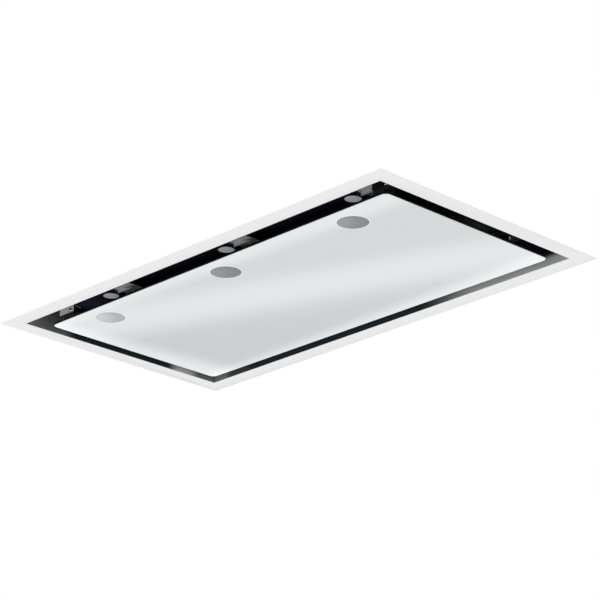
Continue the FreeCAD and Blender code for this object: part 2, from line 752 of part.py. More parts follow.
def blade_outline(sketch):
    """One forward-curved blade: a strip between two arcs around the same centre."""
    eye, rim = number("wheel_eye"), number("wheel - 0.5")
    places = ((eye, 0), (0.5 * (eye + rim), 1.6), (rim, 8))
    spine = [
        Vector(radius * math.cos(math.radians(turn)), radius * math.sin(math.radians(turn)), 0)
        for radius, turn in places
    ]
    circle = Part.Circle(*spine)
    half = number("blade_metal / 2")
    start, end = [math.atan2(*reversed((spine[i] - circle.Center)[:2])) for i in (0, 2)]
    if end < start:
        start, end = end, start
    arcs = []
    for radius in (circle.Radius + half, circle.Radius - half):
        offset = Part.Circle(circle.Center, Vector(0, 0, 1), radius)
        arcs.append(Part.ArcOfCircle(offset, start, end))
    outer, inner = arcs
    sides = [
        Part.LineSegment(outer.EndPoint, inner.EndPoint),
        Part.LineSegment(inner.StartPoint, outer.StartPoint),
    ]
    sketch.addGeometry([*arcs, *sides], False)


def impeller():
    """The double-inlet wheel: a middle disc, curved blades through it, and three rings."""
    piece = at_fan("impeller")
    extrude(piece, "z", both("1"), [("0", "0", "wheel_eye + 2")])
    sketch = sketch_on(piece, "XY_Plane", "-wheel_half")
    blade_outline(sketch)
    blade = piece.newObject("PartDesign::Pad", "blade")
    blade.Profile = sketch
    blade.setExpression("Length", on_sheet("2 * wheel_half"))
    repeat_around(piece, blade, int(number("blades")))
    rings = [("0", "0", "wheel"), ("0", "0", "wheel - 3")]
    for level in (("-wheel_half - 1", "-wheel_half + 1"), ("-1", "1"), ("wheel_half - 1", "wheel_half + 1")):
        extrude(piece, "z", level, rings)
    extrude(piece, "z", both("14"), [("0", "0", "10")])
    extrude(piece, "z", both("15"), [("0", "0", "shaft")], cut=True)


def repeat_around(piece, feature, count):
    """Repeats a feature evenly around the piece's own Z axis."""
    pattern = piece.newObject("PartDesign::PolarPattern", f"{feature.Label}_round")
    pattern.Originals = [feature]
    pattern.Axis = (axis_of(piece, "Z_Axis"), [""])
    pattern.Angle = 360
    pattern.Occurrences = count
    piece.Tip = pattern


def motor():
    """The motor in the wheel's left eye, with its shaft, its three-armed bracket and the grommets."""
    back = "scroll_half"
    piece = at_fan("motor_body")
    revolve(piece, [
        ("shaft + running", f"-{back} - 15"),
        ("14", f"-{back} - 15"),
        ("14", f"-{back} - 11"),
        ("motor - 4", f"-{back} - 11"),
        ("motor", f"-{back} - 7"),
        ("motor", "-28"),
        ("motor - 6", "-20"),
        ("12", "-20"),
        ("12", "-16"),
        ("shaft + running", "-16"),
    ])
    vent = block(piece, ("18", "29"), both("1.6"), (f"-{back} - 12", f"-{back} - 8"), cut=True)
    repeat_around(piece, vent, MOTOR_VENTS)

    piece = at_fan("motor_shaft")
    revolve(piece, [
        ("0", f"-{back} - 18"),
        ("shaft - 0.8", f"-{back} - 18"),
        ("shaft", f"-{back} - 17"),
        ("shaft", "15"),
        ("shaft - 0.8", "16"),
        ("0", "16"),
    ])

    arm = (f"-{back} - 6", f"-{back} - 3.5")
    piece = at_fan("motor_bracket")
    extrude(piece, "z", arm, [("0", "0", "motor + 6"), ("0", "0", "motor + running")])
    first = block(piece, ("motor + 3", "wheel_eye + 12"), both("6"), arm)
    repeat_around(piece, first, MOTOR_ARMS)

    pads = []
    for arm_number in range(MOTOR_ARMS):
        turn = math.radians(360 / MOTOR_ARMS * arm_number)
        reach = number("wheel_eye + 7.5")
        centre = Vector(reach * math.cos(turn), reach * math.sin(turn), number(f"-{back} - 3.5"))
        pads.append(Part.makeCylinder(3.4, 3.5, centre))
    grommets = plain("motor_grommets", Part.makeCompound(pads))
    grommets.Placement = Placement(Vector(0, number("fan_row"), number("fan_level")), ALONG_FAN)


# ---------------------------------------------------------------- outlet


def outlet():
    """The outlet spigot with a ledge, and the spindle that its two damper flaps hang on."""
    piece = body("outlet_spigot", "0", "duct_row", "casing_rise")
    bore = "duct - duct_wall"
    revolve(piece, [
        (bore, "0"),
        ("duct + 14", "0"),
        ("duct + 14", "1.5"),
        ("duct", "1.5"),
        ("duct", "duct_rise"),
        (bore, "duct_rise"),
        (bore, "7.5"),
        (f"{bore} - 3", "7.5"),
        (f"{bore} - 3", "6"),
        (bore, "6"),
    ])
    reach = both(f"{bore} + 1")
    extrude(piece, "x", reach, [("0", "spindle_level", "spindle")], cut=True)

    piece = body("damper_spindle", "0", "duct_row", "casing_rise + spindle_level")
    extrude(piece, "x", reach, [("0", "0", "spindle")])

    knuckles = (("-60", "-36"), ("4", "28"))
    for label, turn in (("damper_flap_far", None), ("damper_flap_near", HALF_TURN)):
        piece = body(label, "0", "duct_row", "casing_rise + spindle_level", turn)
        level = ("-1.6", "-1.6 + flap_metal")
        half_disc(piece, level, f"{bore} - 0.6", 3.8)
        for x in knuckles:
            block(piece, x, ("0", "5"), level)
            extrude(piece, "x", x, [("0", "0", "spindle + 1.7")])
        for x in knuckles:
            extrude(piece, "x", x, [("0", "0", "spindle + running")], cut=True)


def half_disc(piece, level, radius, edge):
    """A disc that is cut off along a straight edge beside the X axis."""
    sketch = sketch_on(piece, "XY_Plane", level[0])
    size = number(radius)
    start = math.asin(edge / size)
    circle = Part.Circle(Vector(), Vector(0, 0, 1), size)
    arc = Part.ArcOfCircle(circle, start, math.pi - start)
    sketch.addGeometry([arc, Part.LineSegment(arc.EndPoint, arc.StartPoint)], False)
    sketch.addConstraint(Sketcher.Constraint("Coincident", 0, 2, 1, 1))
    sketch.addConstraint(Sketcher.Constraint("Coincident", 1, 2, 0, 1))
    sketch.addConstraint(Sketcher.Constraint("Coincident", 0, 3, -1, 1))
    sketch.addConstraint(Sketcher.Constraint("Horizontal", 1))
    tie(sketch, "Radius", 0, text=radius)
    tie(sketch, "DistanceY", -1, 1, 1, 1, text=str(edge))
    feature = piece.newObject("PartDesign::Pad", piece.Label + "_pad")
    feature.Profile = sketch
    feature.setExpression("Length", on_sheet(f"({level[1]}) - ({level[0]})"))


# ---------------------------------------------------------------- electrics and hanging


def electrics():
    """Control box, lamp driver and capacitor on the roof plate, and the cable gland on top."""
    floor = "recess_depth + sheet_metal"
    piece = body("control_box", "-395", "-110", floor)
    block(piece, both("30"), both("85"), ("0", "44"))
    block(piece, both("28"), both("83"), ("2", "45"), cut=True)
    piece = body("control_box_lid", "-395", "-110", f"{floor} + 44")
    block(piece, both("30"), both("85"), ("0", "2"))
    block(piece, both("27.5"), both("82.5"), ("-3", "0"))

    piece = body("lamp_driver", "395", "-120", floor)
    block(piece, both("26"), both("62"), ("0", "26"))
    for y in (("-74", "-62"), ("62", "74")):
        block(piece, both("12"), y, ("0", "3"))
    extrude(piece, "z", ("-1", "4"), [("0", y, "screw_hole") for y in both("68")], cut=True)

    piece = body("capacitor", "392", "20", f"{floor} + 17", Rotation(Vector(1, 0, 0), -90))
    revolve(piece, [
        ("0", "0"),
        ("5", "0"),
        ("5", "6"),
        ("16", "6"),
        ("17", "7"),
        ("17", "66"),
        ("15", "69"),
        ("0", "69"),
    ])

    piece = body("cable_gland", GLAND_X, GLAND_Y, "casing_rise")
    revolve(piece, [
        ("0", "-10"),
        ("gland_thread", "-10"),
        ("gland_thread", "7"),
        ("12", "7"),
        ("12", "20"),
        ("9", "24"),
        ("0", "24"),
    ])
    for level in (("-sheet_metal - 5", "-sheet_metal"), ("0", "6"), ("9", "15")):
        extrude(piece, "z", level, [hexagon("gland_flats")])
    extrude(piece, "z", ("-11", "25"), [("0", "0", "gland_bore")], cut=True)


def hanging_brackets():
    """Four folded brackets on the lid, each with a hole for a threaded hanging rod."""
    pattern = doc.addObject("PartDesign::Body", "hanging_bracket")
    section = [
        ("-20", "0"),
        ("20", "0"),
        ("20", "hanger_rise - 2"),
        ("48", "hanger_rise - 2"),
        ("48", "hanger_rise"),
        ("18", "hanger_rise"),
        ("18", "2"),
        ("-20", "2"),
    ]
    extrude(pattern, "x", both("20"), [section])
    extrude(pattern, "z", ("hanger_rise - 3", "hanger_rise + 1"), [("0", "34", "hanger_hole")], cut=True)
    extrude(pattern, "z", ("-1", "3"), [(u, v, "large_hole") for u, v in HANGER_FOOT], cut=True)
    doc.recompute()
    brackets = []
    for side_x in (-1, 1):
        for side_y in (-1, 1):
            bracket = pattern.Shape.copy()
            if side_y < 0:
                bracket.rotate(Vector(), Vector(0, 0, 1), 180)
            bracket.translate(Vector(side_x * number("hanger_reach"), side_y * number("hanger_row"), 0))
            brackets.append(bracket)
    plain("hanging_brackets", Part.makeCompound(brackets), z="casing_rise")


# ---------------------------------------------------------------- screws


def screw(place, direction, shank=1.5, length=5.0, head=3.2, head_rise=2.0):
    """A pan-head screw whose head rests on place; direction points from the tip to the head."""
    base = place - direction * length
    threaded = Part.makeCylinder(shank, length, base, direction)
    top = Part.makeCylinder(head, head_rise, place, direction)
    recess = Part.makeCylinder(head * 0.35, head_rise * 0.6, place + direction * head_rise * 0.4, direction)
    return threaded.fuse(top).cut(recess)


def recess_screws():
    """The screws of the recess wall, of the feet under its roof and of the catches' magnets."""
    level = number("screw_level")
    wall_x, wall_y = number(OPENING_X), number(OPENING_Y)
    group = []
    for side in SIDES.values():
        for x in FRAME_SCREWS_X:
            group.append(screw(Vector(number(x), side * wall_y, level), Vector(0, -side, 0), length=4))
        for y in FRAME_SCREWS_Y:
            group.append(screw(Vector(side * wall_x, number(y), level), Vector(-side, 0, 0), length=4))
        x = side * number("catch_reach") + number(CATCH_FRONT[0])
        y = number("catch_row - 7 - bracket_metal")
        front = Vector(x, y, number(f"catch_level + {CATCH_FRONT[1]}"))
        group.append(screw(front, Vector(0, -1, 0), length=6))
    for x, y, foot in foot_screws():
        under = Vector(number(x), number(y), number(f"recess_depth - {foot}"))
        group.append(screw(under, Vector(0, 0, -1), length=number(f"{foot} + sheet_metal")))
    plain("recess_screws", Part.makeCompound(group))


def cover_screws():
    """The screws of the lid and of the hanging brackets on it."""
    up = Vector(0, 0, 1)
    top = number("casing_rise")
    group = []
    for x in COVER_SCREWS_X:
        for side in SIDES.values():
            group.append(screw(Vector(number(x), side * number(RIM_ROW), top), up))
    for side_x in SIDES.values():
        for side_y in SIDES.values():
            for u, v in HANGER_FOOT:
                x = side_x * number("hanger_reach") + number(u)
                y = side_y * number(f"hanger_row + {v}")
                group.append(screw(Vector(x, y, top + 2), up, shank=2, length=6, head=3.8, head_rise=2.4))
    plain("cover_screws", Part.makeCompound(group))


def leaf_screws():
    """The screws that hold the hinge leaves on the pan."""
    plate = number("hinge_level") - 3.5
    group = []
    for side in SIDES.values():
        for u, v in HINGE_LEAF:
            spot = Vector(side * number("hinge_reach") + number(u), number(f"hinge_row + {v}"), plate)
            group.append(screw(spot, Vector(0, 0, 1), shank=2, head=3.6, length=5))
    plain("leaf_screws", Part.makeCompound(group))


# ---------------------------------------------------------------- suction panel


def panel_loop(inset):
    """The panel's outline drawn in by an inset."""
    x = both(f"{PANEL_X} - ({inset})")
    y = (f"{PANEL_NEAR} + {inset}", f"{PANEL_FAR} - ({inset})")
    return rectangle(x, y)


def window_holes(radius):
    """A circle around each lamp window."""
    return [(x, "lamp_row", radius) for x in LAMPS.values()]


def panel_glass():
    """The white glass that closes the recess, with rounded corners and three round windows."""
    piece = body("panel_glass", z=PANEL_FACE)
    extrude(piece, "z", ("0", "glass"), [panel_loop("0")])
    dress(piece, "Fillet", "glass_corner", is_upright)
    dress(piece, "Chamfer", "glass_edge", lambda edge: abs(edge.BoundBox.ZMax) < 1e-6)
    extrude(piece, "z", ("-1", "glass + 1"), window_holes("window + 0.1"), cut=True)


def panel_pan():
    """The pressed steel pan bonded behind the glass, with holes over the windows."""
    piece = body("panel_pan", z=PANEL_FACE)
    rise = "glass + pan_rise"
    wall = "pan_inset + pan_flange"
    extrude(piece, "z", ("glass", "glass + pan_metal"),
            [panel_loop("pan_inset"), panel_loop(f"{wall} + pan_metal")])
    extrude(piece, "z", ("glass + pan_metal", f"{rise} - pan_metal"),
            [panel_loop(wall), panel_loop(f"{wall} + pan_metal")])
    extrude(piece, "z", (f"{rise} - pan_metal", rise), [panel_loop(wall), *window_holes("light_hole")])
    leaf_holes = [
        (f"{side} * hinge_reach + {u}", f"hinge_row + {v}", "large_hole")
        for side in SIDES.values() for u, v in HINGE_LEAF
    ]
    extrude(piece, "z", (f"{rise} - 3", f"{rise} + 1"), leaf_holes, cut=True)


def lamp_windows():
    """A frosted window flush in the glass under each lamp, with a lip behind it."""
    for name, x in LAMPS.items():
        piece = body(f"lamp_window_{name}", x, "lamp_row", PANEL_FACE)
        revolve(piece, [
            ("0", "0.15"),
            ("window - 0.5", "0.15"),
            ("window", "0.65"),
            ("window", "glass"),
            ("window_lip", "glass"),
            ("window_lip", "glass + 1.5"),
            ("0", "glass + 1.5"),
        ])


def hinge_leaves():
    """The moving half of each hinge: a leaf on the pan with two knuckles around the pin."""
    pan_top = "-hinge_level - flange_metal - panel_drop + glass + pan_rise"
    for name, side in SIDES.items():
        piece = body(f"hinge_leaf_{name}", f"{side} * hinge_reach", "hinge_row", "hinge_level")
        outline = [
            ("-24", "-54"),
            ("24", "-54"),
            ("24", "0"),
            ("8.4", "0"),
            ("8.4", "-3.6"),
            ("-8.4", "-3.6"),
            ("-8.4", "0"),
            ("-24", "0"),
        ]
        extrude(piece, "z", (pan_top, f"{pan_top} + hinge_metal"), [outline])
        for x in (("-24", "-8.4"), ("8.4", "24")):
            extrude(piece, "x", x, [("0", "0", "knuckle")])
        extrude(piece, "x", both("25"), [("0", "0", "pin + running")], cut=True)
        holes = [(u, v, "large_hole") for u, v in HINGE_LEAF]
        extrude(piece, "z", (f"{pan_top} - 1", f"{pan_top} + 3"), holes, cut=True)


def strike_plates():
    """Steel plates on the pan's near corners that the magnets pull."""
    plates = []
    for side in SIDES.values():
        plate = Part.makeBox(36, 14, 1, Vector(side * number("catch_reach - 13") - 18, -7, 0))
        plates.append(plate)
    pan_top = f"{PANEL_FACE} + glass + pan_rise"
    plain("strike_plates", Part.makeCompound(plates), y="catch_row + 1", z=pan_top)


# ---------------------------------------------------------------- checks and files


def check_features():
    """Stops if a feature failed, or if a cut took nothing away."""
    for item in doc.Objects:
        if "Invalid" in item.State or "Error" in item.State:
            raise RuntimeError(f"{item.Label} failed: {item.State}")
        if item.TypeId == "PartDesign::Pocket":
            before = item.BaseFeature.Shape.Volume
            if item.Shape.Volume > before - 0.01:
                raise RuntimeError(f"{item.Label} in {item.getParentGeoFeatureGroup().Label} cuts nothing")


def write_pieces():
    """Writes each sub-part to parts/, under its label, once its shape is sound."""
    os.makedirs("parts", exist_ok=True)
    labels = [piece.Label for piece in PIECES]
    if len(set(labels)) < len(labels) or len(labels) > 60:
        raise RuntimeError(f"{len(labels)} labels, not all their own")
    for piece in PIECES:
        if piece.Shape.isNull() or not piece.Shape.isValid() or not piece.Shape.Solids:
            raise RuntimeError(f"{piece.Label} has no sound shape")
    for piece in PIECES:
        piece.Shape.exportStep(f"parts/{piece.Label}.step")
    print(f"{len(labels)} sub-parts written")


def build():
    """Makes every sub-part, from the flange inwards, then the panel."""
    ceiling_frame()
    suction_liner()
    casing_sides()
    roof_plate()
    top_cover()
    filter_rails()
    for name, side in SIDES.items():
        filter_frame(name, side)
        filter_mesh(name, side)
        filter_latch(name, side)
    lamps()
    hinge_brackets()
    magnet_catches()
    scroll_halves()
    impeller()
    motor()
    outlet()
    electrics()
    hanging_brackets()
    recess_screws()
    cover_screws()
    leaf_screws()
    panel_glass()
    panel_pan()
    lamp_windows()
    hinge_leaves()
    strike_plates()
    doc.recompute()


build()
check_features()
write_pieces()
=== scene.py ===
"""Finishes, fine pieces and stage of a ceiling range hood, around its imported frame."""

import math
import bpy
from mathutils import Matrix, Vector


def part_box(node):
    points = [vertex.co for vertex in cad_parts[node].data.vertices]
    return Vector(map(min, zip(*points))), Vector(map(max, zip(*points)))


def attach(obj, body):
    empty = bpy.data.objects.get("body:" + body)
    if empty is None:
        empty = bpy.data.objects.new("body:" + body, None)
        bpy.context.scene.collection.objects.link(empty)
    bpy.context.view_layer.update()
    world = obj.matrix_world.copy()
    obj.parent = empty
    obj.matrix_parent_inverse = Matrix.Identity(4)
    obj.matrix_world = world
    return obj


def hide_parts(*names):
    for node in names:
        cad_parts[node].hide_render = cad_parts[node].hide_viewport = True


bl_info = {
    "name": "Ceiling range hood",
    "version": (1, 0, 0),
    "blender": (4, 5, 0),
    "location": "View3D > Sidebar > Hood",
    "description": "Dresses a ceiling range hood and sets it in a ceiling",
    "category": "Object",
}

import bmesh
import bpy
from bpy.props import FloatProperty, FloatVectorProperty, IntProperty, PointerProperty
from mathutils import Matrix, Vector

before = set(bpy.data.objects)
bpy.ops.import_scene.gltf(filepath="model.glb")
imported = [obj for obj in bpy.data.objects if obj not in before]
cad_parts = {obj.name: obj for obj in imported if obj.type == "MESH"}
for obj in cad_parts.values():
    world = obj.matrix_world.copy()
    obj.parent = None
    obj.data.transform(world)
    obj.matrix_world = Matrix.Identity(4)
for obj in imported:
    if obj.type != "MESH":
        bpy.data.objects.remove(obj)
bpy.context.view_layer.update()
MM = 0.001
SIDES = {"left": -1, "right": 1}
LAMPS = ("left", "centre", "right")


# ---------------------------------------------------------------- sizes and colours


def length(name, millimetres, description):
    """A length property, given in millimetres and kept in metres."""
    return FloatProperty(
        name=name, description=description, default=millimetres * MM, unit="LENGTH", min=0.0,
        precision=5,
    )


def colour(name, value, description):
    """A colour property."""
    return FloatVectorProperty(
        name=name, description=description, default=value, subtype="COLOR", size=3, min=0.0,
        max=1.0,
    )


class HoodSizes(bpy.types.PropertyGroup):
    """Sizes of the fine pieces"""

    opening_length: length("Opening length", 838, "Length of the flange's opening")
    opening_width: length("Opening width", 436, "Width of the flange's opening")
    edge_round: length("Edge rounding", 0.35, "Rounding of the pressed sheet edges")
    mesh_cell: length("Mesh cell", 9, "Long diagonal of a cell of the filters' expanded metal")
    mesh_strand: length("Mesh strand", 0.9, "Width of a strand of the expanded metal")
    mesh_thickness: length("Mesh thickness", 0.7, "Thickness of the expanded metal")
    notch_half: length("Notch half width", 22, "Half the width of the notch around a latch")
    notch_depth: length("Notch depth", 43, "Depth of the mesh's notch around a latch")
    lens_rings: IntProperty(
        name="Lens rings", description="Rings pressed into a lamp's lens", default=5, min=1
    )
    screw_radius: length("Screw radius", 3.2, "Radius of a small screw's head")
    screw_rise: length("Screw rise", 2.0, "Height of a small screw's head")
    screw_shank: length("Screw shank", 1.5, "Radius of a small screw's shank")
    screw_level: length("Screw level", 20, "Height of the screws in the recess wall")
    glass_chamfer: length("Glass chamfer", 0.8, "Height of the panel's polished lower edge")
    window_radius: length("Window radius", 25.5, "Radius of a window's face in the panel")
    bracket_metal: length("Bracket metal", 1.2, "Thickness of the lamp brackets' sheet")
    plate_near: length("Plate reach, near", 8, "Reach of a lamp's plate towards the near side")
    plate_far: length("Plate reach, far", 36, "Reach of a lamp's plate towards the far side")
    plate_inset: length("Plate inset", 2, "Gap between a lamp's plate and its bracket's end")
    plate_round: length("Plate rounding", 0.3, "Rounding of the lamp plates' edges")


class HoodColours(bpy.types.PropertyGroup):
    """Colours of the finishes"""

    flange: colour("Flange", (0.82, 0.83, 0.825), "White powder coat")
    # Flange edge is painted light: a lighter white that makes the flange's edge render brighter.
    flange_edge_light: colour("Flange edge", (0.97, 0.97, 0.97), "Powder coat on the flange's edge")
    panel: colour("Panel", (0.68, 0.71, 0.715), "White of the glass panel")
    # Glass rim is painted shade, for the dark slot seen through the panel's clear edge.
    glass_rim_shade: colour("Glass rim", (0.008, 0.01, 0.01), "Ground rim of the glass panel")
    # Window edge and window rim are painted highlights: pale rings round and just inside each
    # window.
    window_edge_highlight: colour("Window edge", (0.82, 0.85, 0.85), "Polished edge round a window")
    # Window is painted shade: the grey of the dark recess seen through the frosted glass.
    window: colour("Window", (0.2, 0.212, 0.222), "Frosted window in front of a dark recess")
    window_rim_highlight: colour("Window rim", (0.75, 0.77, 0.77), "Polished rim of a window")
    lens: colour("Lens", (0.5, 0.52, 0.54), "Frosted lamp lens")
    shaded_steel: colour("Shaded steel", (0.03, 0.048, 0.06), "Recess wall, in the shade")
    # Lit steel is painted light, blended into the recess wall round listed points.
    lit_steel: colour("Lit steel", (0.62, 0.64, 0.645), "Recess wall, where it shines")
    galvanised: colour("Galvanised steel", (0.62, 0.64, 0.66), "Steel of the casing")
    zinc: colour("Zinc plate", (0.7, 0.71, 0.73), "Brackets, hinges and screws")
    aluminium: colour("Aluminium", (0.2, 0.208, 0.217), "Filter frames and mesh, dark anodised")
    capacitor: colour("Capacitor can", (0.72, 0.73, 0.74), "Bare aluminium of the capacitor")
    bracket: colour("Bracket steel", (0.78, 0.8, 0.81), "Dull zinc on lamp brackets and catch")
    black: colour("Black paint", (0.022, 0.024, 0.05), "Roof of the recess")
    pan: colour("Pan", (0.008, 0.008, 0.01), "Black paint on the panel's pan")
    lamp: colour("Lamp body", (0.03, 0.032, 0.036), "Dark anodised aluminium of the lamps")
    latch: colour("Latch", (0.025, 0.025, 0.027), "Plastic of the filters' latches")
    magnet: colour("Magnet case", (0.02, 0.02, 0.022), "Plastic round the catch magnets")
    scroll: colour("Scroll", (0.035, 0.036, 0.04), "Plastic of the fan's housing")
    wheel: colour("Fan wheel", (0.12, 0.125, 0.13), "Plastic of the fan's wheel")
    motor: colour("Motor", (0.03, 0.03, 0.033), "Black enamel on the motor")
    rubber: colour("Rubber", (0.02, 0.02, 0.021), "Rubber of the motor's grommets")
    duct: colour("Duct collar", (0.04, 0.041, 0.045), "Plastic of the outlet")
    flap: colour("Flap", (0.1, 0.1, 0.11), "Plastic of the outlet's flaps")
    box: colour("Control box", (0.3, 0.31, 0.32), "Plastic of the control box")
    driver: colour("Lamp driver", (0.7, 0.7, 0.69), "Plastic of the lamp driver")
    gland: colour("Cable gland", (0.02, 0.02, 0.022), "Plastic of the cable gland")
    board: colour("Ceiling", (0.85, 0.85, 0.85), "Plain paint on the ceiling")
    room: colour("Room", (1.0, 1.0, 1.0), "Light of the room below the ceiling")


class HoodSettings(bpy.types.PropertyGroup):
    """Everything that the operators read"""

    sizes: PointerProperty(type=HoodSizes)
    colours: PointerProperty(type=HoodColours)


def sizes():
    """The sizes in the scene's settings."""
    return bpy.context.scene.hood.sizes


def colours():
    """The colours in the scene's settings."""
    return bpy.context.scene.hood.colours


# ---------------------------------------------------------------- materials

GLASS_INDEX = 1.5
GRAINED_PLASTIC = 0.5
SMOOTH_PLASTIC = 0.45
LENS_GLOW = 0.35
# Painted reflection: how bright the windows' frosted faces are, from left to right.
WINDOW_REFLECTION_LEVELS = (1.9, 0.75, 0.88)
# Where the painted highlight round a window's edge fades outside it, and the painted highlight on
# its rim inside it.
HIGHLIGHT_AROUND = (1.0 * MM, 2.0 * MM)
HIGHLIGHT_INSIDE = (-0.8 * MM, -0.4 * MM)
# The painted reflection that makes one side of a window brighter: its middle and its reach in
# window radii, and its gain.
REFLECTION_SIDE = Vector((-0.75, -0.75, 0))
REFLECTION_REACH = (0.2, 1.9)
REFLECTION_GAIN = 1.5
# Heights: where the recess wall turns near-black and how softly, and where the painted light on
# the flange's edge starts and how softly.
DARK_LINE = 15 * MM
DARK_FADE = 4 * MM
FLANGE_LIGHT_LEVEL = -0.95 * MM
FLANGE_LIGHT_FADE = 0.1 * MM
# Painted light on the recess wall: a point and the distances at which the painted light starts to
# fade and ends, in millimetres, and its strength.
PAINTED_LIGHT_SPOTS = (
    ((380, 218, 6), 130, 300, 1.0),
    ((-375, 218, 8), 18, 70, 0.16),
    ((-419, 205, 6), 30, 50, 0.45),
    ((-419, 143, 6), 8, 42, 1.55),
)
# The same painted light for the corner by the left catch, reaching up to the roof.
PAINTED_LIGHT_CORNER = ((-419, -218, 8), 75, 115, 0.4)


def faded(nodes, links, value, near, far, level):
    """A socket that falls softly from a level to 0 as a value goes from near to far."""
    fade = nodes.new("ShaderNodeMapRange")
    fade.interpolation_type = "SMOOTHERSTEP"
    fade.inputs["From Min"].default_value = near
    fade.inputs["From Max"].default_value = far
    fade.inputs["To Min"].default_value = level
    fade.inputs["To Max"].default_value = 0.0
    links.new(value, fade.inputs["Value"])
    return fade.outputs["Result"]


class Finish:
    """A material with one shader, and the patterns that drive it."""

    def __init__(self, name, base, roughness, metallic=0.0):
        self.material = bpy.data.materials.new(name)
        self.material.use_nodes = True
        self.nodes = self.material.node_tree.nodes
        self.links = self.material.node_tree.links
        self.shader = self.nodes["Principled BSDF"]
        self.base = tuple(base)
        self.set("Base Color", (*base, 1.0))
        self.set("Roughness", roughness)
        self.set("Metallic", metallic)

    def set(self, socket, value):
        """Sets one of the shader's own sockets."""
        self.shader.inputs[socket].default_value = value

    def pattern(self, kind, scale, stretch=(1, 1, 1), output=0, **settings):
        """A procedural pattern on the object's coordinates, as a socket that holds its value."""
        place = self.nodes.new("ShaderNodeTexCoord")
        mapping = self.nodes.new("ShaderNodeMapping")
        mapping.inputs["Scale"].default_value = stretch
        texture = self.nodes.new(f"ShaderNodeTex{kind}")
        texture.inputs["Scale"].default_value = scale
        for name, value in settings.items():
            if name in texture.inputs:
                texture.inputs[name].default_value = value
            else:
                setattr(texture, name, value)
        self.links.new(place.outputs["Object"], mapping.inputs["Vector"])
        self.links.new(mapping.outputs["Vector"], texture.inputs["Vector"])
        return texture.outputs[output]

    def tint(self, value, spread):
        """Lets the colour vary from darker to lighter with a pattern."""
        mix = self.nodes.new("ShaderNodeMix")
        mix.data_type = "RGBA"
        mix.inputs["A"].default_value = (*[c * (1 - spread) for c in self.base], 1.0)
        mix.inputs["B"].default_value = (*[min(c * (1 + spread), 1.0) for c in self.base], 1.0)
        self.links.new(value, mix.inputs["Factor"])
        self.links.new(mix.outputs["Result"], self.shader.inputs["Base Color"])
        return self

    def near(self, point, inner, outer):
        """A socket that is 1 close to a point, and falls softly to 0 further away."""
        place = self.nodes.new("ShaderNodeTexCoord")
        gap = self.nodes.new("ShaderNodeVectorMath")
        gap.operation = "DISTANCE"
        gap.inputs[1].default_value = point
        self.links.new(place.outputs["Object"], gap.inputs[0])
        return faded(self.nodes, self.links, gap.outputs["Value"], inner, outer, 1.0)

    def above(self, level, soft=0.05 * MM):
        """A socket that is 0 below a height of the object and 1 above it."""
        place = self.nodes.new("ShaderNodeTexCoord")
        parts = self.nodes.new("ShaderNodeSeparateXYZ")
        step = self.nodes.new("ShaderNodeMapRange")
        step.inputs["From Min"].default_value = level - soft
        step.inputs["From Max"].default_value = level + soft
        self.links.new(place.outputs["Object"], parts.inputs[0])
        self.links.new(parts.outputs["Z"], step.inputs["Value"])
        return step.outputs["Result"]

    def blend(self, value, shade):
        """Blends the colour so far into another one where the value is 1."""
        base = self.shader.inputs["Base Color"]
        mix = self.nodes.new("ShaderNodeMix")
        mix.data_type = "RGBA"
        if base.is_linked:
            self.links.new(base.links[0].from_socket, mix.inputs["A"])
        else:
            mix.inputs["A"].default_value = base.default_value
        mix.inputs["B"].default_value = (*shade, 1.0)
        self.links.new(value, mix.inputs["Factor"])
        self.links.new(mix.outputs["Result"], base)
        return self

    def polish(self, value, low, high):
        """Lets the roughness vary between two values with a pattern."""
        spread = self.nodes.new("ShaderNodeMapRange")
        spread.inputs["To Min"].default_value = low
        spread.inputs["To Max"].default_value = high
        self.links.new(value, spread.inputs["Value"])
        self.links.new(spread.outputs["Result"], self.shader.inputs["Roughness"])
        return self

    def emboss(self, value, depth, strength=1.0):
        """Raises and lowers the surface with a pattern, by up to depth."""
        bump = self.nodes.new("ShaderNodeBump")
        bump.inputs["Distance"].default_value = depth
        bump.inputs["Strength"].default_value = strength
        self.links.new(value, bump.inputs["Height"])
        self.links.new(bump.outputs["Normal"], self.shader.inputs["Normal"])
        return self


def powder_coat():
    """White powder coat with a fine orange peel, and painted light that makes the flange's edge
    lighter.
    """
    finish = Finish("powder_coat", colours().flange, 0.42)
    finish.tint(finish.pattern("Noise", 6.0), 0.012)
    # Painted light: the flange's edge is blended to a lighter white.
    finish.blend(finish.above(FLANGE_LIGHT_LEVEL, FLANGE_LIGHT_FADE), colours().flange_edge_light)
    return finish.emboss(finish.pattern("Noise", 900.0), 0.02 * MM, 0.25).material


def white_glass(rim_start, windows, radius):
    """Back-painted glass: a clear, flat, glossy face over white, with painted highlights round the
    windows, and its ground rim and back near-black as painted shade for the dark slot seen through
    the clear glass.
    """
    finish = Finish("white_glass", colours().panel, 0.04)
    finish.set("IOR", GLASS_INDEX)
    finish.tint(finish.pattern("Noise", 3.0), 0.006)
    start, end = (radius + gap for gap in HIGHLIGHT_AROUND)
    for centre in windows:
        # Painted highlight: a pale ring round each window.
        finish.blend(finish.near(centre, start, end), colours().window_edge_highlight)
    # Painted shade: the rim and the back turn near-black, for the dark slot seen through the clear
    # glass.
    finish.blend(finish.above(rim_start), colours().glass_rim_shade)
    return finish.polish(finish.pattern("Noise", 40.0), 0.008, 0.016).material


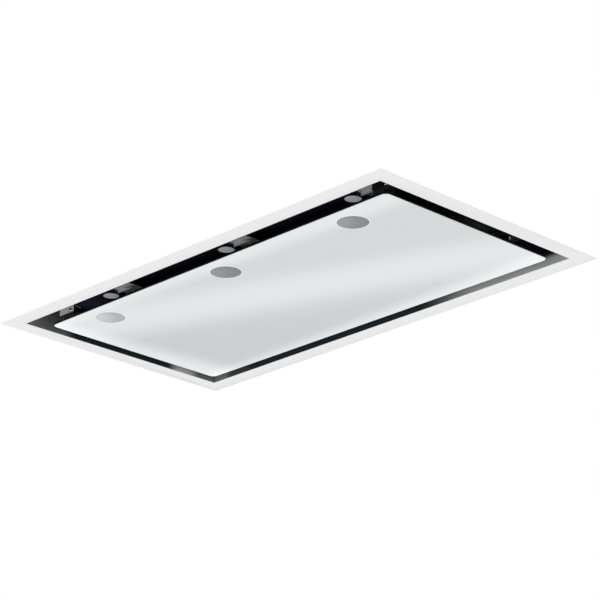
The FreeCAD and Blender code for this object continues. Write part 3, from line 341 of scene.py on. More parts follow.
def window_glass(name, centre, radius, level):
    """A frosted window in painted shade, with a painted highlight on its rim and a painted
    reflection that makes it brighter towards the room's side.
    """
    base = [part * level for part in colours().window]
    # Painted highlight: the window starts from the pale rim colour, which stays only in a thin
    # ring at its edge.
    finish = Finish(name, colours().window_rim_highlight, 0.16)
    start, end = (radius + gap for gap in HIGHLIGHT_INSIDE)
    finish.blend(finish.near(centre, start, end), base)
    # Painted reflection: the window is brighter towards one side.
    start, end = (radius * share for share in REFLECTION_REACH)
    bright = [min(part * REFLECTION_GAIN, 1.0) for part in base]
    finish.blend(finish.near(centre + REFLECTION_SIDE * radius, start, end), bright)
    finish.set("Specular IOR Level", 0.6)
    return finish.emboss(finish.pattern("Noise", 2500.0), 0.01 * MM, 0.2).material


def lens_glass():
    """Frosted lens of a lamp, with a faint glow of its own."""
    finish = Finish("lens_glass", colours().lens, 0.25)
    finish.tint(finish.pattern("Noise", 120.0), 0.05)
    finish.set("Emission Color", (*colours().lens, 1.0))
    finish.set("Emission Strength", LENS_GLOW)
    return finish.emboss(finish.pattern("Noise", 2500.0), 0.01 * MM, 0.3).material


def add_painted_light(finish, point, inner, outer, strength):
    """Blends painted light into a finish round a point, given in millimetres: steel painted
    brighter there.
    """
    shade = [min(part * strength, 1.0) for part in colours().lit_steel]
    finish.blend(finish.near([part * MM for part in point], inner * MM, outer * MM), shade)


def recess_steel():
    """Satin steel at the recess wall's foot, with painted light in places, near-black above it,
    and painted light again in the corner by the left catch.
    """
    finish = Finish("recess_steel", colours().shaded_steel, 0.35, metallic=0.35)
    finish.set("Specular IOR Level", 0.2)
    grain = finish.pattern("Noise", 500.0, stretch=(0.04, 0.04, 1), Detail=4.0)
    finish.tint(grain, 0.15)
    # Painted light: brighter steel round listed points of the wall.
    for light_spot in PAINTED_LIGHT_SPOTS:
        add_painted_light(finish, *light_spot)
    # The wall turns near-black above its foot.
    finish.blend(finish.above(DARK_LINE, DARK_FADE), colours().black)
    # Painted light again in the corner by the left catch, over the near-black.
    add_painted_light(finish, *PAINTED_LIGHT_CORNER)
    return finish.polish(grain, 0.3, 0.42).material


def bracket_steel():
    """Dull zinc on folded steel."""
    finish = Finish("bracket_steel", colours().bracket, 0.4, metallic=0.15)
    cloud = finish.pattern("Noise", 60.0, Detail=3.0)
    finish.tint(cloud, 0.12)
    return finish.polish(cloud, 0.32, 0.5).material


def satin_steel(name, base, stretch):
    """Steel sheet with a fine grain along its length."""
    finish = Finish(name, base, 0.32, metallic=1.0)
    grain = finish.pattern("Noise", 500.0, stretch=stretch, Detail=4.0)
    finish.tint(grain, 0.1)
    return finish.polish(grain, 0.25, 0.4).material


def galvanised_steel():
    """Hot-dipped sheet with a faint spangle."""
    finish = Finish("galvanised_steel", colours().galvanised, 0.38, metallic=0.9)
    spangle = finish.pattern("Voronoi", 70.0, output="Color", Randomness=1.0)
    finish.tint(spangle, 0.07)
    finish.polish(spangle, 0.3, 0.46)
    return finish.emboss(finish.pattern("Noise", 400.0), 0.02 * MM, 0.2).material


def zinc_plate():
    """Bright zinc on small steel parts, slightly uneven."""
    finish = Finish("zinc_plate", colours().zinc, 0.26, metallic=1.0)
    cloud = finish.pattern("Noise", 90.0, Detail=3.0)
    finish.tint(cloud, 0.06)
    return finish.polish(cloud, 0.2, 0.34).material


def black_paint(name, base):
    """Black stoved paint inside the recess."""
    finish = Finish(name, base, 0.55)
    finish.set("Specular IOR Level", 0.15)
    finish.tint(finish.pattern("Noise", 12.0), 0.2)
    return finish.emboss(finish.pattern("Noise", 700.0), 0.03 * MM, 0.3).material


def brushed_aluminium():
    """The filters' channel frames, with a grain along X."""
    finish = Finish("brushed_aluminium", colours().aluminium, 0.3, metallic=1.0)
    grain = finish.pattern("Noise", 350.0, stretch=(0.05, 1, 1), Detail=3.0)
    finish.tint(grain, 0.06)
    return finish.polish(grain, 0.25, 0.4).material


def mesh_aluminium():
    """Expanded aluminium, dull where it was slit."""
    finish = Finish("mesh_aluminium", colours().aluminium, 0.42, metallic=1.0)
    finish.tint(finish.pattern("Noise", 300.0), 0.15)
    return finish.polish(finish.pattern("Noise", 150.0), 0.35, 0.55).material


def turned_aluminium():
    """Dark anodised aluminium with turning marks along its height."""
    finish = Finish("turned_aluminium", colours().lamp, 0.35, metallic=0.7)
    marks = finish.pattern("Noise", 900.0, stretch=(0.02, 0.02, 1))
    finish.tint(marks, 0.2)
    return finish.polish(marks, 0.28, 0.45).material


def moulded(name, base, roughness=GRAINED_PLASTIC):
    """Moulded plastic with a fine spark-eroded grain."""
    finish = Finish(name, base, roughness)
    finish.tint(finish.pattern("Noise", 25.0), 0.06)
    grain = finish.pattern("Noise", 1400.0, Detail=3.0)
    return finish.emboss(grain, 0.03 * MM, 0.4).material


def painted_motor():
    """Black enamel on the motor's pressed shell."""
    finish = Finish("painted_motor", colours().motor, 0.35)
    finish.tint(finish.pattern("Noise", 60.0), 0.15)
    return finish.polish(finish.pattern("Noise", 200.0), 0.28, 0.45).material


def soft_rubber():
    """Black rubber."""
    finish = Finish("soft_rubber", colours().rubber, 0.7)
    return finish.tint(finish.pattern("Noise", 200.0), 0.2).material


def wear(material, *nodes):
    """Gives CAD nodes a material of their own."""
    for name in nodes:
        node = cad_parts[name]
        node.data.materials.clear()
        node.data.materials.append(material)


# ---------------------------------------------------------------- pieces

WELD = 0.002 * MM
SEAM = 0.005 * MM
FLAT = math.radians(0.5)
SHARP = math.radians(40)
LONG_EDGE = 100 * MM
# The expanded metal's cells, short by long diagonal, and how much its grid outreaches the frame.
CELL_SHAPE = 0.6
NET_SPARE = 1.5
# A screw's head: shares of its radius and rise from the rim upwards, and its cross recess as
# shares of its radius, its rise and its own outline.
HEAD_PROFILE = ((1.0, 0.35), (0.9, 0.7), (0.68, 0.94), (0.5, 1.0))
HEAD_SEGMENTS = 24
CROSS_REACH = 0.42
CROSS_BAR = 0.09
CROSS_DEPTH = 0.6
CROSS_TAPER = 0.75
# A screw's tip, as shares of its reach and its shank's radius.
TIP_START = 0.85
TIP_END = 0.4


def piece_from(bm, name, material, body, slot, *nodes):
    """Makes the piece of a finished bmesh, which rides on a body in place of CAD nodes."""
    mesh = bpy.data.meshes.new(name)
    bm.to_mesh(mesh)
    bm.free()
    mesh.materials.append(material)
    piece = bpy.data.objects.new(name, mesh)
    bpy.context.scene.collection.objects.link(piece)
    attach(piece, body)
    if nodes:
        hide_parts(*nodes)
    return piece


def smooth(bm, angle=35.0):
    """Shades faces smooth, and keeps edges sharper than the angle sharp."""
    limit = math.radians(angle)
    for face in bm.faces:
        face.smooth = True
    for edge in bm.edges:
        edge.smooth = len(edge.link_faces) == 2 and edge.calc_face_angle() < limit


def copy_of(node):
    """A bmesh of a CAD node, with its loose triangles joined and its flats made whole."""
    bm = bmesh.new()
    bm.from_mesh(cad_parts[node].data)
    bmesh.ops.remove_doubles(bm, verts=bm.verts, dist=WELD)
    bmesh.ops.dissolve_limit(bm, angle_limit=FLAT, verts=bm.verts, edges=bm.edges)
    return bm


def rounded(bm, edges, width, clamp):
    """Rounds edges of a bmesh."""
    bmesh.ops.bevel(
        bm, geom=edges, offset=width, offset_type="OFFSET", affect="EDGES", segments=2,
        profile=0.5, material=-1, clamp_overlap=clamp,
    )


def round_edges(bm, width):
    """Rounds the long sharp edges."""
    sharp = [
        edge
        for edge in bm.edges
        if len(edge.link_faces) == 2
        and edge.calc_face_angle() > SHARP
        and edge.calc_length() > LONG_EDGE
    ]
    rounded(bm, sharp, width, clamp=False)


def expanded_metal(low, high, notch):
    """A net of diamond cells between two corners, with a notch around the latch."""
    size = sizes()
    middle = (low + high) / 2
    cell_side = size.mesh_cell / math.sqrt(2)
    reach = max(high.x - low.x, high.y - low.y) * NET_SPARE
    count = int(reach / cell_side)
    bm = bmesh.new()
    bmesh.ops.create_grid(bm, x_segments=count, y_segments=count, size=count * cell_side / 2)
    bmesh.ops.rotate(bm, matrix=Matrix.Rotation(math.radians(45), 3, "Z"), verts=bm.verts)
    bmesh.ops.scale(bm, vec=(1, CELL_SHAPE, 1), verts=bm.verts)
    bmesh.ops.translate(bm, vec=middle, verts=bm.verts)
    left, right, end = notch
    for co, normal, clear in (
        ((low.x, 0, 0), (-1, 0, 0), True),
        ((high.x, 0, 0), (1, 0, 0), True),
        ((0, low.y, 0), (0, -1, 0), True),
        ((0, high.y, 0), (0, 1, 0), True),
        ((left, 0, 0), (1, 0, 0), False),
        ((right, 0, 0), (1, 0, 0), False),
        ((0, end, 0), (0, 1, 0), False),
    ):
        bmesh.ops.bisect_plane(
            bm, geom=bm.verts[:] + bm.edges[:] + bm.faces[:], plane_co=co, plane_no=normal,
            clear_outer=clear,
        )
    inside = [
        face
        for face in bm.faces
        if left < face.calc_center_median().x < right and face.calc_center_median().y < end
    ]
    bmesh.ops.delete(bm, geom=inside, context="FACES")
    cells = bm.faces[:]
    half_strand = size.mesh_strand / 2
    bmesh.ops.inset_individual(bm, faces=cells, thickness=half_strand, use_even_offset=True)
    bmesh.ops.delete(bm, geom=cells, context="FACES_ONLY")
    bmesh.ops.solidify(bm, geom=bm.faces[:], thickness=size.mesh_thickness)
    return bm


def ring_profile(bm, corners, segments=48):
    """Turns a profile of radius and height around the Z axis into a closed form."""
    verts = [bm.verts.new((radius, 0, level)) for radius, level in corners]
    edges = [bm.edges.new(pair) for pair in zip(verts, verts[1:])]
    bmesh.ops.spin(
        bm, geom=verts + edges, cent=(0, 0, 0), axis=(0, 0, 1), angle=math.tau, steps=segments,
        use_merge=True,
    )
    bmesh.ops.remove_doubles(bm, verts=bm.verts, dist=SEAM)
    bmesh.ops.recalc_face_normals(bm, faces=bm.faces)


def screw_mesh(radius, rise, shank, reach):
    """A domed screw with a cross recess, its head standing on the origin along +Z."""
    bm = bmesh.new()
    bmesh.ops.create_circle(bm, segments=HEAD_SEGMENTS, radius=radius)
    rim = bm.edges[:]
    for share, level in HEAD_PROFILE:
        rim = extruded(bm, rim, share * radius, level * rise)
    reach_of_cross = radius * CROSS_REACH
    bars = bmesh.ops.create_grid(bm, x_segments=3, y_segments=3, size=reach_of_cross)["verts"]
    bmesh.ops.translate(bm, vec=(0, 0, rise), verts=bars)
    stretch_bars(bars, radius)
    corners = [
        face
        for face in dict.fromkeys(face for vert in bars for face in vert.link_faces)
        if min(abs(part) for part in face.calc_center_median()[:2]) > radius * CROSS_BAR
    ]
    bmesh.ops.delete(bm, geom=corners, context="FACES")
    kept = [vert for vert in bars if vert.is_valid]
    cross = list(dict.fromkeys(face for vert in kept for face in vert.link_faces))
    edges_of_cross = dict.fromkeys(edge for face in cross for edge in face.edges)
    outline = [edge for edge in edges_of_cross if len(edge.link_faces) == 1]
    bmesh.ops.triangle_fill(bm, edges=rim + outline, use_beauty=True)
    sunk = bmesh.ops.extrude_face_region(bm, geom=cross)
    floor = [item for item in sunk["geom"] if isinstance(item, bmesh.types.BMVert)]
    bmesh.ops.delete(bm, geom=cross, context="FACES_ONLY")
    bmesh.ops.translate(bm, vec=(0, 0, -rise * CROSS_DEPTH), verts=floor)
    bmesh.ops.scale(bm, vec=(CROSS_TAPER, CROSS_TAPER, 1), verts=floor)
    bottom = [edge for edge in bm.edges if edge.is_boundary]
    for width, level in ((shank, 0.0), (shank, -reach * TIP_START), (TIP_END * shank, -reach)):
        bottom = extruded(bm, bottom, width, level)
    bmesh.ops.contextual_create(bm, geom=bottom)
    bmesh.ops.recalc_face_normals(bm, faces=bm.faces)
    smooth(bm, 40)
    return bm


def stretch_bars(verts, radius):
    """Moves the inner lines of a three by three grid inwards, to the width of a cross's bars."""
    for vert in verts:
        for axis in range(2):
            if abs(vert.co[axis]) < radius * CROSS_REACH / 2:
                vert.co[axis] = math.copysign(radius * CROSS_BAR, vert.co[axis])


def extruded(bm, edges, radius, level):
    """Extrudes a round rim to a new radius and height, and gives the new rim."""
    made = bmesh.ops.extrude_edge_only(bm, edges=edges)["geom"]
    verts = [item for item in made if isinstance(item, bmesh.types.BMVert)]
    now = max(Vector(vert.co[:2]).length for vert in verts)
    bmesh.ops.scale(bm, vec=(radius / now, radius / now, 1), verts=verts)
    bmesh.ops.translate(bm, vec=(0, 0, level - verts[0].co.z), verts=verts)
    return [item for item in made if isinstance(item, bmesh.types.BMEdge)]


def screw_group(name, body, node, seats, one):
    """One piece with a screw on every seat; a seat is a point and the way its head faces."""
    template = bpy.data.meshes.new(name + "_one")
    group = bmesh.new()
    for point, facing in seats:
        turn = Vector(facing).to_track_quat("Z", "Y").to_matrix().to_4x4()
        one.to_mesh(template)
        template.transform(Matrix.Translation(Vector(point)) @ turn)
        group.from_mesh(template)
    one.free()
    bpy.data.meshes.remove(template)
    return piece_from(group, name, bpy.data.materials["zinc_plate"], body, "screw_steel", node)


# ---------------------------------------------------------------- operators


class HoodOperator(bpy.types.Operator):
    """Shared by the operators of the hood"""

    bl_options = {"REGISTER", "UNDO"}


class HOOD_OT_flange(HoodOperator):
    """Makes the white flange with softly pressed edges"""

    bl_idname = "hood.flange"
    bl_label = "Flange"

    def execute(self, context):
        size = sizes()
        bm = copy_of("ceiling_frame")
        round_edges(bm, size.edge_round)
        smooth(bm)
        piece_from(bm, "flange", powder_coat(), "housing", "flange_paint", "ceiling_frame")
        return {"FINISHED"}


class HOOD_OT_recess(HoodOperator):
    """Finishes the recess's wall, its roof and the filter rails"""

    bl_idname = "hood.recess"
    bl_label = "Recess"

    def execute(self, context):
        colour_of = colours()
        wear(recess_steel(), "suction_liner")
        wear(black_paint("roof_paint", colour_of.black), "roof_plate")
        wear(black_paint("rail_paint", colour_of.black), "filter_rail_near", "filter_rail_far")
        return {"FINISHED"}


class HOOD_OT_casing(HoodOperator):
    """Finishes the folded walls and the lid of the casing"""

    bl_idname = "hood.casing"
    bl_label = "Casing"

    def execute(self, context):
        walls = ("casing_near", "casing_far", "casing_left", "casing_right")
        wear(galvanised_steel(), *walls, "top_cover")
        return {"FINISHED"}


class HOOD_OT_filters(HoodOperator):
    """Makes the expanded metal of the filters, and finishes their frames and latches"""

    bl_idname = "hood.filters"
    bl_label = "Grease filters"

    def execute(self, context):
        size = sizes()
        colour_of = colours()
        wear(brushed_aluminium(), "filter_frame_left", "filter_frame_right")
        latch = moulded("latch_plastic", colour_of.latch)
        wear(latch, "filter_latch_left", "filter_latch_right")
        metal = mesh_aluminium()
        for side in SIDES:
            node = f"filter_mesh_{side}"
            low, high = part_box(node)
            middle = (low.x + high.x) / 2
            notch = (middle - size.notch_half, middle + size.notch_half, low.y + size.notch_depth)
            layers = bmesh.new()
            for level in (low.z + size.mesh_thickness, high.z):
                flat_low = Vector((low.x, low.y, level))
                flat_high = Vector((high.x, high.y, level))
                layer = expanded_metal(flat_low, flat_high, notch)
                sheet = bpy.data.meshes.new("layer")
                layer.to_mesh(sheet)
                layer.free()
                layers.from_mesh(sheet)
                bpy.data.meshes.remove(sheet)
            piece_from(layers, f"expanded_metal_{side}", metal, "housing", "filter_mesh", node)
        return {"FINISHED"}


def lamp_plates(steel):
    """A flat plate welded to each side of a lamp bracket's web, level with the lamp's back."""
    size = sizes()
    for name in LAMPS:
        low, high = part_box(f"lamp_bracket_{name}")
        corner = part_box(f"lamp_body_{name}")[1]
        right, top = high.x - size.plate_inset, corner.z + size.bracket_metal
        spans = (
            (low.y - size.plate_near, low.y),
            (low.y + size.bracket_metal, low.y + size.plate_far),
        )
        bm = bmesh.new()
        for near, far in spans:
            box_between(bm, (corner.x, near, corner.z), (right, far, top))
        rounded(bm, bm.edges[:], size.plate_round, clamp=True)
        smooth(bm)
        piece_from(bm, f"lamp_plate_{name}", steel, "housing", "bright_steel")


def box_between(bm, low, high):
    """Adds a box between two corners."""
    verts = bmesh.ops.create_cube(bm, size=1)["verts"]
    extent = [end - start for start, end in zip(low, high)]
    middle = [(end + start) / 2 for start, end in zip(low, high)]
    bmesh.ops.scale(bm, vec=extent, verts=verts)
    bmesh.ops.translate(bm, vec=middle, verts=verts)


# A lens: the heights of its middle, its rings and its edge above its lowest point, and how much
# of the pitch a ring takes.
LENS_MIDDLE = 0.2 * MM
LENS_EDGE = 0.6 * MM
RING_RISE = 0.35 * MM
RING_WIDTH = 0.85


def ringed_lens(name, glass):
    """A lamp's lens, with rings pressed into its face."""
    size = sizes()
    node = f"lamp_lens_{name}"
    low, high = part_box(node)
    middle = (low + high) / 2
    radius = (high.x - low.x) / 2
    pitch = radius / (size.lens_rings + 0.5)
    profile = [(0, LENS_MIDDLE)]
    for ring in range(size.lens_rings):
        start = pitch * (ring + 0.5)
        profile += [(start, 0.0), (start + pitch * RING_WIDTH, RING_RISE)]
    profile += [(radius, LENS_EDGE), (radius, high.z - low.z), (0, high.z - low.z)]
    bm = bmesh.new()
    ring_profile(bm, profile)
    bmesh.ops.translate(bm, vec=(middle.x, middle.y, low.z), verts=bm.verts)
    smooth(bm, 30)
    piece_from(bm, f"ringed_lens_{name}", glass, "housing", "lamp_lens", node)


class HOOD_OT_lamps(HoodOperator):
    """Makes the lamps' ringed lenses, and finishes their bodies and brackets"""

    bl_idname = "hood.lamps"
    bl_label = "Lamps"

    def execute(self, context):
        bodies = [f"lamp_body_{name}" for name in LAMPS]
        brackets = [f"lamp_bracket_{name}" for name in LAMPS]
        wear(turned_aluminium(), *bodies)
        steel = bracket_steel()
        wear(steel, *brackets)
        lamp_plates(steel)
        glass = lens_glass()
        for name in LAMPS:
            ringed_lens(name, glass)
        return {"FINISHED"}


class HOOD_OT_panel(HoodOperator):
    """Finishes the glass panel, its windows and its pan"""

    bl_idname = "hood.panel"
    bl_label = "Suction panel"

    def execute(self, context):
        size = sizes()
        colour_of = colours()
        centres = []
        # Each window gets its own painted reflection level.
        for name, level in zip(LAMPS, WINDOW_REFLECTION_LEVELS):
            low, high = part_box(f"lamp_window_{name}")
            centre = Vector(((low.x + high.x) / 2, (low.y + high.y) / 2, low.z))
            glass = window_glass(f"window_glass_{name}", centre, size.window_radius, level)
            wear(glass, f"lamp_window_{name}")
            centres.append(centre)
        rim_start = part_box("panel_glass")[0].z + size.glass_chamfer
        wear(white_glass(rim_start, centres, size.window_radius), "panel_glass")
        wear(black_paint("pan_paint", colour_of.pan), "panel_pan")
        return {"FINISHED"}


class HOOD_OT_fittings(HoodOperator):
    """Finishes the hinges, the catches and the brackets"""

    bl_idname = "hood.fittings"
    bl_label = "Fittings"

    def execute(self, context):
        colour_of = colours()
        zinc = zinc_plate()
        wear(bpy.data.materials["bracket_steel"], "magnet_catch_left")
        # Painted shade: the right catch, the same part as the left one, is made near-black.
        wear(black_paint("catch_painted_shade", colour_of.pan), "magnet_catch_right")
        wear(zinc, "strike_plates")
        for side in SIDES:
            wear(zinc, f"hinge_bracket_{side}", f"hinge_leaf_{side}")
        wear(zinc, "hinge_pins", "hanging_brackets")
        wear(zinc, "damper_spindle", "motor_bracket", "motor_shaft")
        wear(moulded("magnet_case", colour_of.magnet), "catch_magnets")
        return {"FINISHED"}


class HOOD_OT_fan(HoodOperator):
    """Finishes the fan"""

    bl_idname = "hood.fan"
    bl_label = "Fan"

    def execute(self, context):
        colour_of = colours()
        wear(moulded("scroll_plastic", colour_of.scroll), "scroll_left", "scroll_right")
        wear(moulded("wheel_plastic", colour_of.wheel), "impeller")
        wear(painted_motor(), "motor_body")
        wear(soft_rubber(), "motor_grommets")
        return {"FINISHED"}


class HOOD_OT_outlet(HoodOperator):
    """Finishes the outlet spigot and its flaps"""

    bl_idname = "hood.outlet"
    bl_label = "Outlet"

    def execute(self, context):
        colour_of = colours()
        flap = moulded("flap_plastic", colour_of.flap, SMOOTH_PLASTIC)
        wear(moulded("duct_plastic", colour_of.duct, SMOOTH_PLASTIC), "outlet_spigot")
        wear(flap, "damper_flap_near", "damper_flap_far")
        return {"FINISHED"}


class HOOD_OT_electrics(HoodOperator):
    """Finishes the control box, the lamp driver, the capacitor and the gland"""

    bl_idname = "hood.electrics"
    bl_label = "Electrics"

    def execute(self, context):
        colour_of = colours()
        wear(moulded("box_plastic", colour_of.box), "control_box", "control_box_lid")
        wear(moulded("driver_plastic", colour_of.driver), "lamp_driver")
        wear(satin_steel("can_aluminium", colour_of.capacitor, (1, 1, 0.05)), "capacitor")
        wear(moulded("gland_plastic", colour_of.gland), "cable_gland")
        return {"FINISHED"}


# Where the screws sit, in millimetres: across the recess wall's long and short sides, under the
# roof beside the lamps, the catches and the hinges, round the lid, at its brackets and on a leaf.
LONG_SIDE_SCREWS = (-280, 0, 280)
SHORT_SIDE_SCREWS = (-110, 110)
LAMP_ROW = (-294, -6, 282)
LAMP_FOOT = (16.5, -126.5, 59.8)
CATCH_FOOT = (372, -157, 59.8)
CATCH_STEP = 11
CATCH_FACE = (-168.2, 21.8)
HINGE_FOOT = (300, 197, 59.5)
HINGE_STEP = 13
LID_SCREWS = (-370, -125, 125, 370)
LID_RIM = 6.25
LID_METAL = 1
HANGER = (390, 142)
HANGER_STEP = 12
HANGER_METAL = 2
LEAF_SCREWS = ((-16, 164), (16, 164), (0, 140))
LEAF_TOP = 12.6
# How far the shanks reach, in millimetres.
WALL_SHANK = 2.2
LID_SHANK = 5
LEAF_SHANK = 4


def foot_seats():
    """Where screws hold the feet under the roof, in millimetres."""
    shift, y, level = LAMP_FOOT
    seats = [(x + shift, y, level) for x in LAMP_ROW]
    for side in SIDES.values():
        for (x, y, level), gap in ((CATCH_FOOT, CATCH_STEP), (HINGE_FOOT, HINGE_STEP)):
            seats += [(side * x + step, y, level) for step in (-gap, gap)]
    return seats


def recess_seats(size):
    """Seats of the screws in the recess: its wall, the catches and the feet under its roof."""
    half_x, half_y = size.opening_length / 2, size.opening_width / 2
    seats = []
    for side in SIDES.values():
        for x in LONG_SIDE_SCREWS:
            seats.append(((x * MM, side * half_y, size.screw_level), (0, -side, 0)))
        for y in SHORT_SIDE_SCREWS:
            seats.append(((side * half_x, y * MM, size.screw_level), (-side, 0, 0)))
    y, level = CATCH_FACE
    for side in SIDES.values():
        x = side * CATCH_FOOT[0] + CATCH_STEP
        seats.append(((x * MM, y * MM, level * MM), (0, -1, 0)))
    for x, y, level in foot_seats():
        seats.append(((x * MM, y * MM, level * MM), (0, 0, -1)))
    return seats


def lid_seats():
    """Seats of the screws round the lid and in the hanging brackets' feet."""
    low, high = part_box("top_cover")
    top, rim = low.z + LID_METAL * MM, high.y - LID_RIM * MM
    seats = [((x * MM, side * rim, top), (0, 0, 1)) for side in SIDES.values() for x in LID_SCREWS]
    for side_x in SIDES.values():
        for side_y in SIDES.values():
            for step in (-HANGER_STEP, HANGER_STEP):
                x, y = side_x * HANGER[0] + step, side_y * HANGER[1]
                seats.append(((x * MM, y * MM, top + HANGER_METAL * MM), (0, 0, 1)))
    return seats


def leaf_seats():
    """Seats of the screws on the hinge leaves."""
    return [
        (((side * HINGE_FOOT[0] + x) * MM, y * MM, LEAF_TOP * MM), (0, 0, 1))
        for side in SIDES.values()
        for x, y in LEAF_SCREWS
    ]


class HOOD_OT_screws(HoodOperator):
    """Makes the cross-head screws of the recess, the lid and the hinge leaves"""

    bl_idname = "hood.screws"
    bl_label = "Screws"

    def execute(self, context):
        size = sizes()
        for name, body, node, seats, reach in (
            ("recess_cross_screws", "housing", "recess_screws", recess_seats(size), WALL_SHANK),
            ("lid_cross_screws", "housing", "cover_screws", lid_seats(), LID_SHANK),
            ("leaf_cross_screws", "suction_panel", "leaf_screws", leaf_seats(), LEAF_SHANK),
        ):
            one = screw_mesh(size.screw_radius, size.screw_rise, size.screw_shank, reach * MM)
            screw_group(name, body, node, seats, one)
        return {"FINISHED"}


class HOOD_OT_stage(HoodOperator):
    """Sets the hood in a plain ceiling, with a soft room light and the camera"""

    bl_idname = "hood.stage"
    bl_label = "Ceiling, light and camera"

    def execute(self, context):
        colour_of = colours()
        make_ceiling()
        light_room(colour_of.room)
        add_soft_lamp()
        set_camera()
        return {"FINISHED"}


# The ceiling: half its size, its board's thickness, its cut-out and its roughness.
CEILING_REACH = 7.0
CEILING_BOARD = 12.5 * MM
CUT_OUT = (870 * MM, 470 * MM)
CHALKY = 0.9
# The camera: what it looks at, where from, and its lens and sensor in millimetres.
CAMERA_AIM = Vector((0.01127, 0.015068, -0.01379))
CAMERA_AZIMUTH = math.radians(45.5855)
CAMERA_ELEVATION = math.radians(-21.2605)
CAMERA_DISTANCE = 4.09256
CAMERA_LENS = 148.77
SENSOR_WIDTH = 36.0
CLIP_END = 100.0


def make_ceiling():
    """A ceiling board with a cut-out for the casing, its lower side bright as seen from below."""
    bm = bmesh.new()
    verts = bmesh.ops.create_grid(bm, x_segments=3, y_segments=3, size=CEILING_REACH)["verts"]
    for vert in verts:
        for axis in range(2):
            if abs(vert.co[axis]) < CEILING_REACH / 2:
                vert.co[axis] = math.copysign(CUT_OUT[axis] / 2, vert.co[axis])
    middle = min(bm.faces, key=lambda face: face.calc_center_median().length)
    bmesh.ops.delete(bm, geom=[middle], context="FACES_ONLY")
    lower = bm.faces[:]
    raised = bmesh.ops.extrude_face_region(bm, geom=lower, use_keep_orig=True)
    top = [item for item in raised["geom"] if isinstance(item, bmesh.types.BMVert)]
    bmesh.ops.translate(bm, vec=(0, 0, CEILING_BOARD), verts=top)
    bmesh.ops.recalc_face_normals(bm, faces=bm.faces)
    for face in bm.faces:
        face.material_index = 0 if face.calc_center_median().z < CEILING_BOARD / 4 else 1
    mesh = bpy.data.meshes.new("ceiling")
    bm.to_mesh(mesh)
    bm.free()
    mesh.materials.append(bright_ceiling())
    board = Finish("plain_board", colours().board, CHALKY)
    mesh.materials.append(board.tint(board.pattern("Noise", 2.0), 0.01).material)
    ceiling = bpy.data.objects.new("ceiling", mesh)
    bpy.context.scene.collection.objects.link(ceiling)


def bright_ceiling():
    """White to the camera and in reflections, and plain white paint to all other light."""
    finish = Finish("bright_ceiling", colours().board, CHALKY)
    nodes, links = finish.nodes, finish.links
    path = nodes.new("ShaderNodeLightPath")
    seen = path.outputs["Is Camera Ray"]
    for kind in ("Is Glossy Ray", "Is Transmission Ray"):
        either = nodes.new("ShaderNodeMath")
        either.operation = "MAXIMUM"
        links.new(seen, either.inputs[0])
        links.new(path.outputs[kind], either.inputs[1])
        seen = either.outputs[0]
    glow = nodes.new("ShaderNodeEmission")
    mix = nodes.new("ShaderNodeMixShader")
    links.new(seen, mix.inputs["Fac"])
    links.new(finish.shader.outputs[0], mix.inputs[1])
    links.new(glow.outputs[0], mix.inputs[2])
    links.new(mix.outputs[0], nodes["Material Output"].inputs["Surface"])
    return finish.material


# Soft strips of light and shade in the room below, which the panel mirrors: two directions on the
# strip's middle line, each as compass angle and height, its half width in degrees, and its level.
STRIPS = (
    ((-49.24, -20.86), (-41.92, -22.11), 0.66, 0.76),
    ((-49.57, -21.49), (-42.52, -23.85), 0.40, 0.90),
    ((-49.78, -19.98), (-42.67, -18.30), 0.45, 1.18),
    ((-48.52, -18.99), (-41.61, -21.39), 0.42, 1.31),
    ((-49.10, -19.83), (-41.77, -20.56), 1.66, -0.42),
)
# The shaded side of the room: its compass angle and height, the angles from there at which the
# shade starts to fade and ends, and its level.
SHADED_SIDE = (-45.6, -21.3)
SHADED_REACH = (7.0, 16.0)
SHADE = -0.28
ROOM_LIGHT = 0.88
# The weak lamp: its strength, its spread and the way from the hood's middle against its light.
SOFT_LAMP = 0.6
SOFT_LAMP_SPREAD = math.radians(12)
SOFT_LAMP_WAY = Vector((0.15, 0.76, 0.63))


def light_room(tone):
    """Even light from all round and white behind everything, with the soft strips."""
    world = bpy.data.worlds.new("room")
    bpy.context.scene.world = world
    world.use_nodes = True
    nodes, links = world.node_tree.nodes, world.node_tree.links
    way = nodes.new("ShaderNodeTexCoord").outputs["Generated"]
    parts = [strip_level(nodes, links, way, *strip) for strip in STRIPS]
    parts.append(side_level(nodes, links, way))
    level = None
    for part in parts:
        total = nodes.new("ShaderNodeMath")
        total.inputs[0].default_value = ROOM_LIGHT
        if level is not None:
            links.new(level, total.inputs[0])
        links.new(part, total.inputs[1])
        level = total.outputs[0]
    path = nodes.new("ShaderNodeLightPath")
    white = nodes.new("ShaderNodeMix")
    links.new(path.outputs["Is Camera Ray"], white.inputs["Factor"])
    links.new(level, white.inputs["A"])
    white.inputs["B"].default_value = 1.0
    background = nodes["Background"]
    background.inputs["Color"].default_value = (*tone, 1.0)
    links.new(white.outputs["Result"], background.inputs["Strength"])


def add_soft_lamp():
    """A weak, soft lamp far below the near side, which reaches up through the near slot."""
    data = bpy.data.lights.new("soft_lamp", "SUN")
    data.energy = SOFT_LAMP
    data.angle = SOFT_LAMP_SPREAD
    lamp = bpy.data.objects.new("soft_lamp", data)
    lamp.rotation_euler = SOFT_LAMP_WAY.to_track_quat("-Z", "Y").to_euler()
    bpy.context.scene.collection.objects.link(lamp)


def direction(compass, height):
    """The unit vector of a compass angle from +Y and a height above the horizon, in degrees."""
    around, rise = math.radians(compass), math.radians(height)
    flat = Vector((math.sin(around), math.cos(around), 0)) * math.cos(rise)
    return flat + Vector((0, 0, math.sin(rise)))


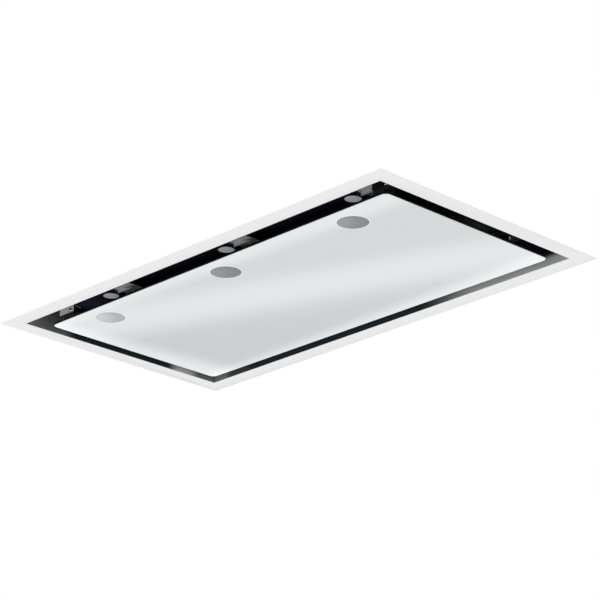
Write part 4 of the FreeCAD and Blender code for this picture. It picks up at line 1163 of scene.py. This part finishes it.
def strip_level(nodes, links, way, start, end, half_width, level):
    """What a soft strip adds to the room's light: its level in the middle, 0 off the strip."""
    across = nodes.new("ShaderNodeVectorMath")
    across.operation = "DOT_PRODUCT"
    across.inputs[1].default_value = direction(*start).cross(direction(*end)).normalized()
    links.new(way, across.inputs[0])
    gap = nodes.new("ShaderNodeMath")
    gap.operation = "ABSOLUTE"
    links.new(across.outputs["Value"], gap.inputs[0])
    return faded(nodes, links, gap.outputs[0], 0.0, math.sin(math.radians(half_width)), level)


def side_level(nodes, links, way):
    """What the shaded side of the room takes from its light."""
    along = nodes.new("ShaderNodeVectorMath")
    along.operation = "DOT_PRODUCT"
    along.inputs[1].default_value = direction(*SHADED_SIDE)
    links.new(way, along.inputs[0])
    near, far = (math.cos(math.radians(angle)) for angle in SHADED_REACH)
    return faded(nodes, links, along.outputs["Value"], near, far, SHADE)


def set_camera():
    """The camera, below the ceiling and off the corner by the lamps."""
    view = Vector((
        math.sin(CAMERA_AZIMUTH) * math.cos(CAMERA_ELEVATION),
        -math.cos(CAMERA_AZIMUTH) * math.cos(CAMERA_ELEVATION),
        math.sin(CAMERA_ELEVATION),
    ))
    data = bpy.data.cameras.new("camera")
    data.lens = CAMERA_LENS
    data.sensor_width = SENSOR_WIDTH
    data.clip_end = CLIP_END
    camera = bpy.data.objects.new("camera", data)
    camera.location = CAMERA_AIM + view * CAMERA_DISTANCE
    camera.rotation_euler = (-view).to_track_quat("-Z", "Y").to_euler()
    bpy.context.scene.collection.objects.link(camera)
    bpy.context.scene.camera = camera


# ---------------------------------------------------------------- panel and registration

OPERATORS = (
    HOOD_OT_flange,
    HOOD_OT_recess,
    HOOD_OT_casing,
    HOOD_OT_filters,
    HOOD_OT_lamps,
    HOOD_OT_panel,
    HOOD_OT_fittings,
    HOOD_OT_fan,
    HOOD_OT_outlet,
    HOOD_OT_electrics,
    HOOD_OT_screws,
    HOOD_OT_stage,
)


class HOOD_PT_sidebar(bpy.types.Panel):
    """Lists the hood's operators in the sidebar"""

    bl_idname = "HOOD_PT_sidebar"
    bl_label = "Ceiling range hood"
    bl_space_type = "VIEW_3D"
    bl_region_type = "UI"
    bl_category = "Hood"

    def draw(self, context):
        for operator in OPERATORS:
            self.layout.operator(operator.bl_idname)


CLASSES = (HoodSizes, HoodColours, HoodSettings, *OPERATORS, HOOD_PT_sidebar)


def register():
    """Registers the classes and hangs the settings on the scene."""
    for item in CLASSES:
        bpy.utils.register_class(item)
    bpy.types.Scene.hood = PointerProperty(type=HoodSettings)


def unregister():
    """Takes everything back that register added."""
    del bpy.types.Scene.hood
    for item in reversed(CLASSES):
        bpy.utils.unregister_class(item)


def main():
    """Makes every piece in order."""
    register()
    bpy.context.scene.view_settings.view_transform = "Standard"
    bpy.ops.hood.flange()
    bpy.ops.hood.recess()
    bpy.ops.hood.casing()
    bpy.ops.hood.filters()
    bpy.ops.hood.lamps()
    bpy.ops.hood.panel()
    bpy.ops.hood.fittings()
    bpy.ops.hood.fan()
    bpy.ops.hood.outlet()
    bpy.ops.hood.electrics()
    bpy.ops.hood.screws()
    bpy.ops.hood.stage()


if __name__ == "__main__":
    main()
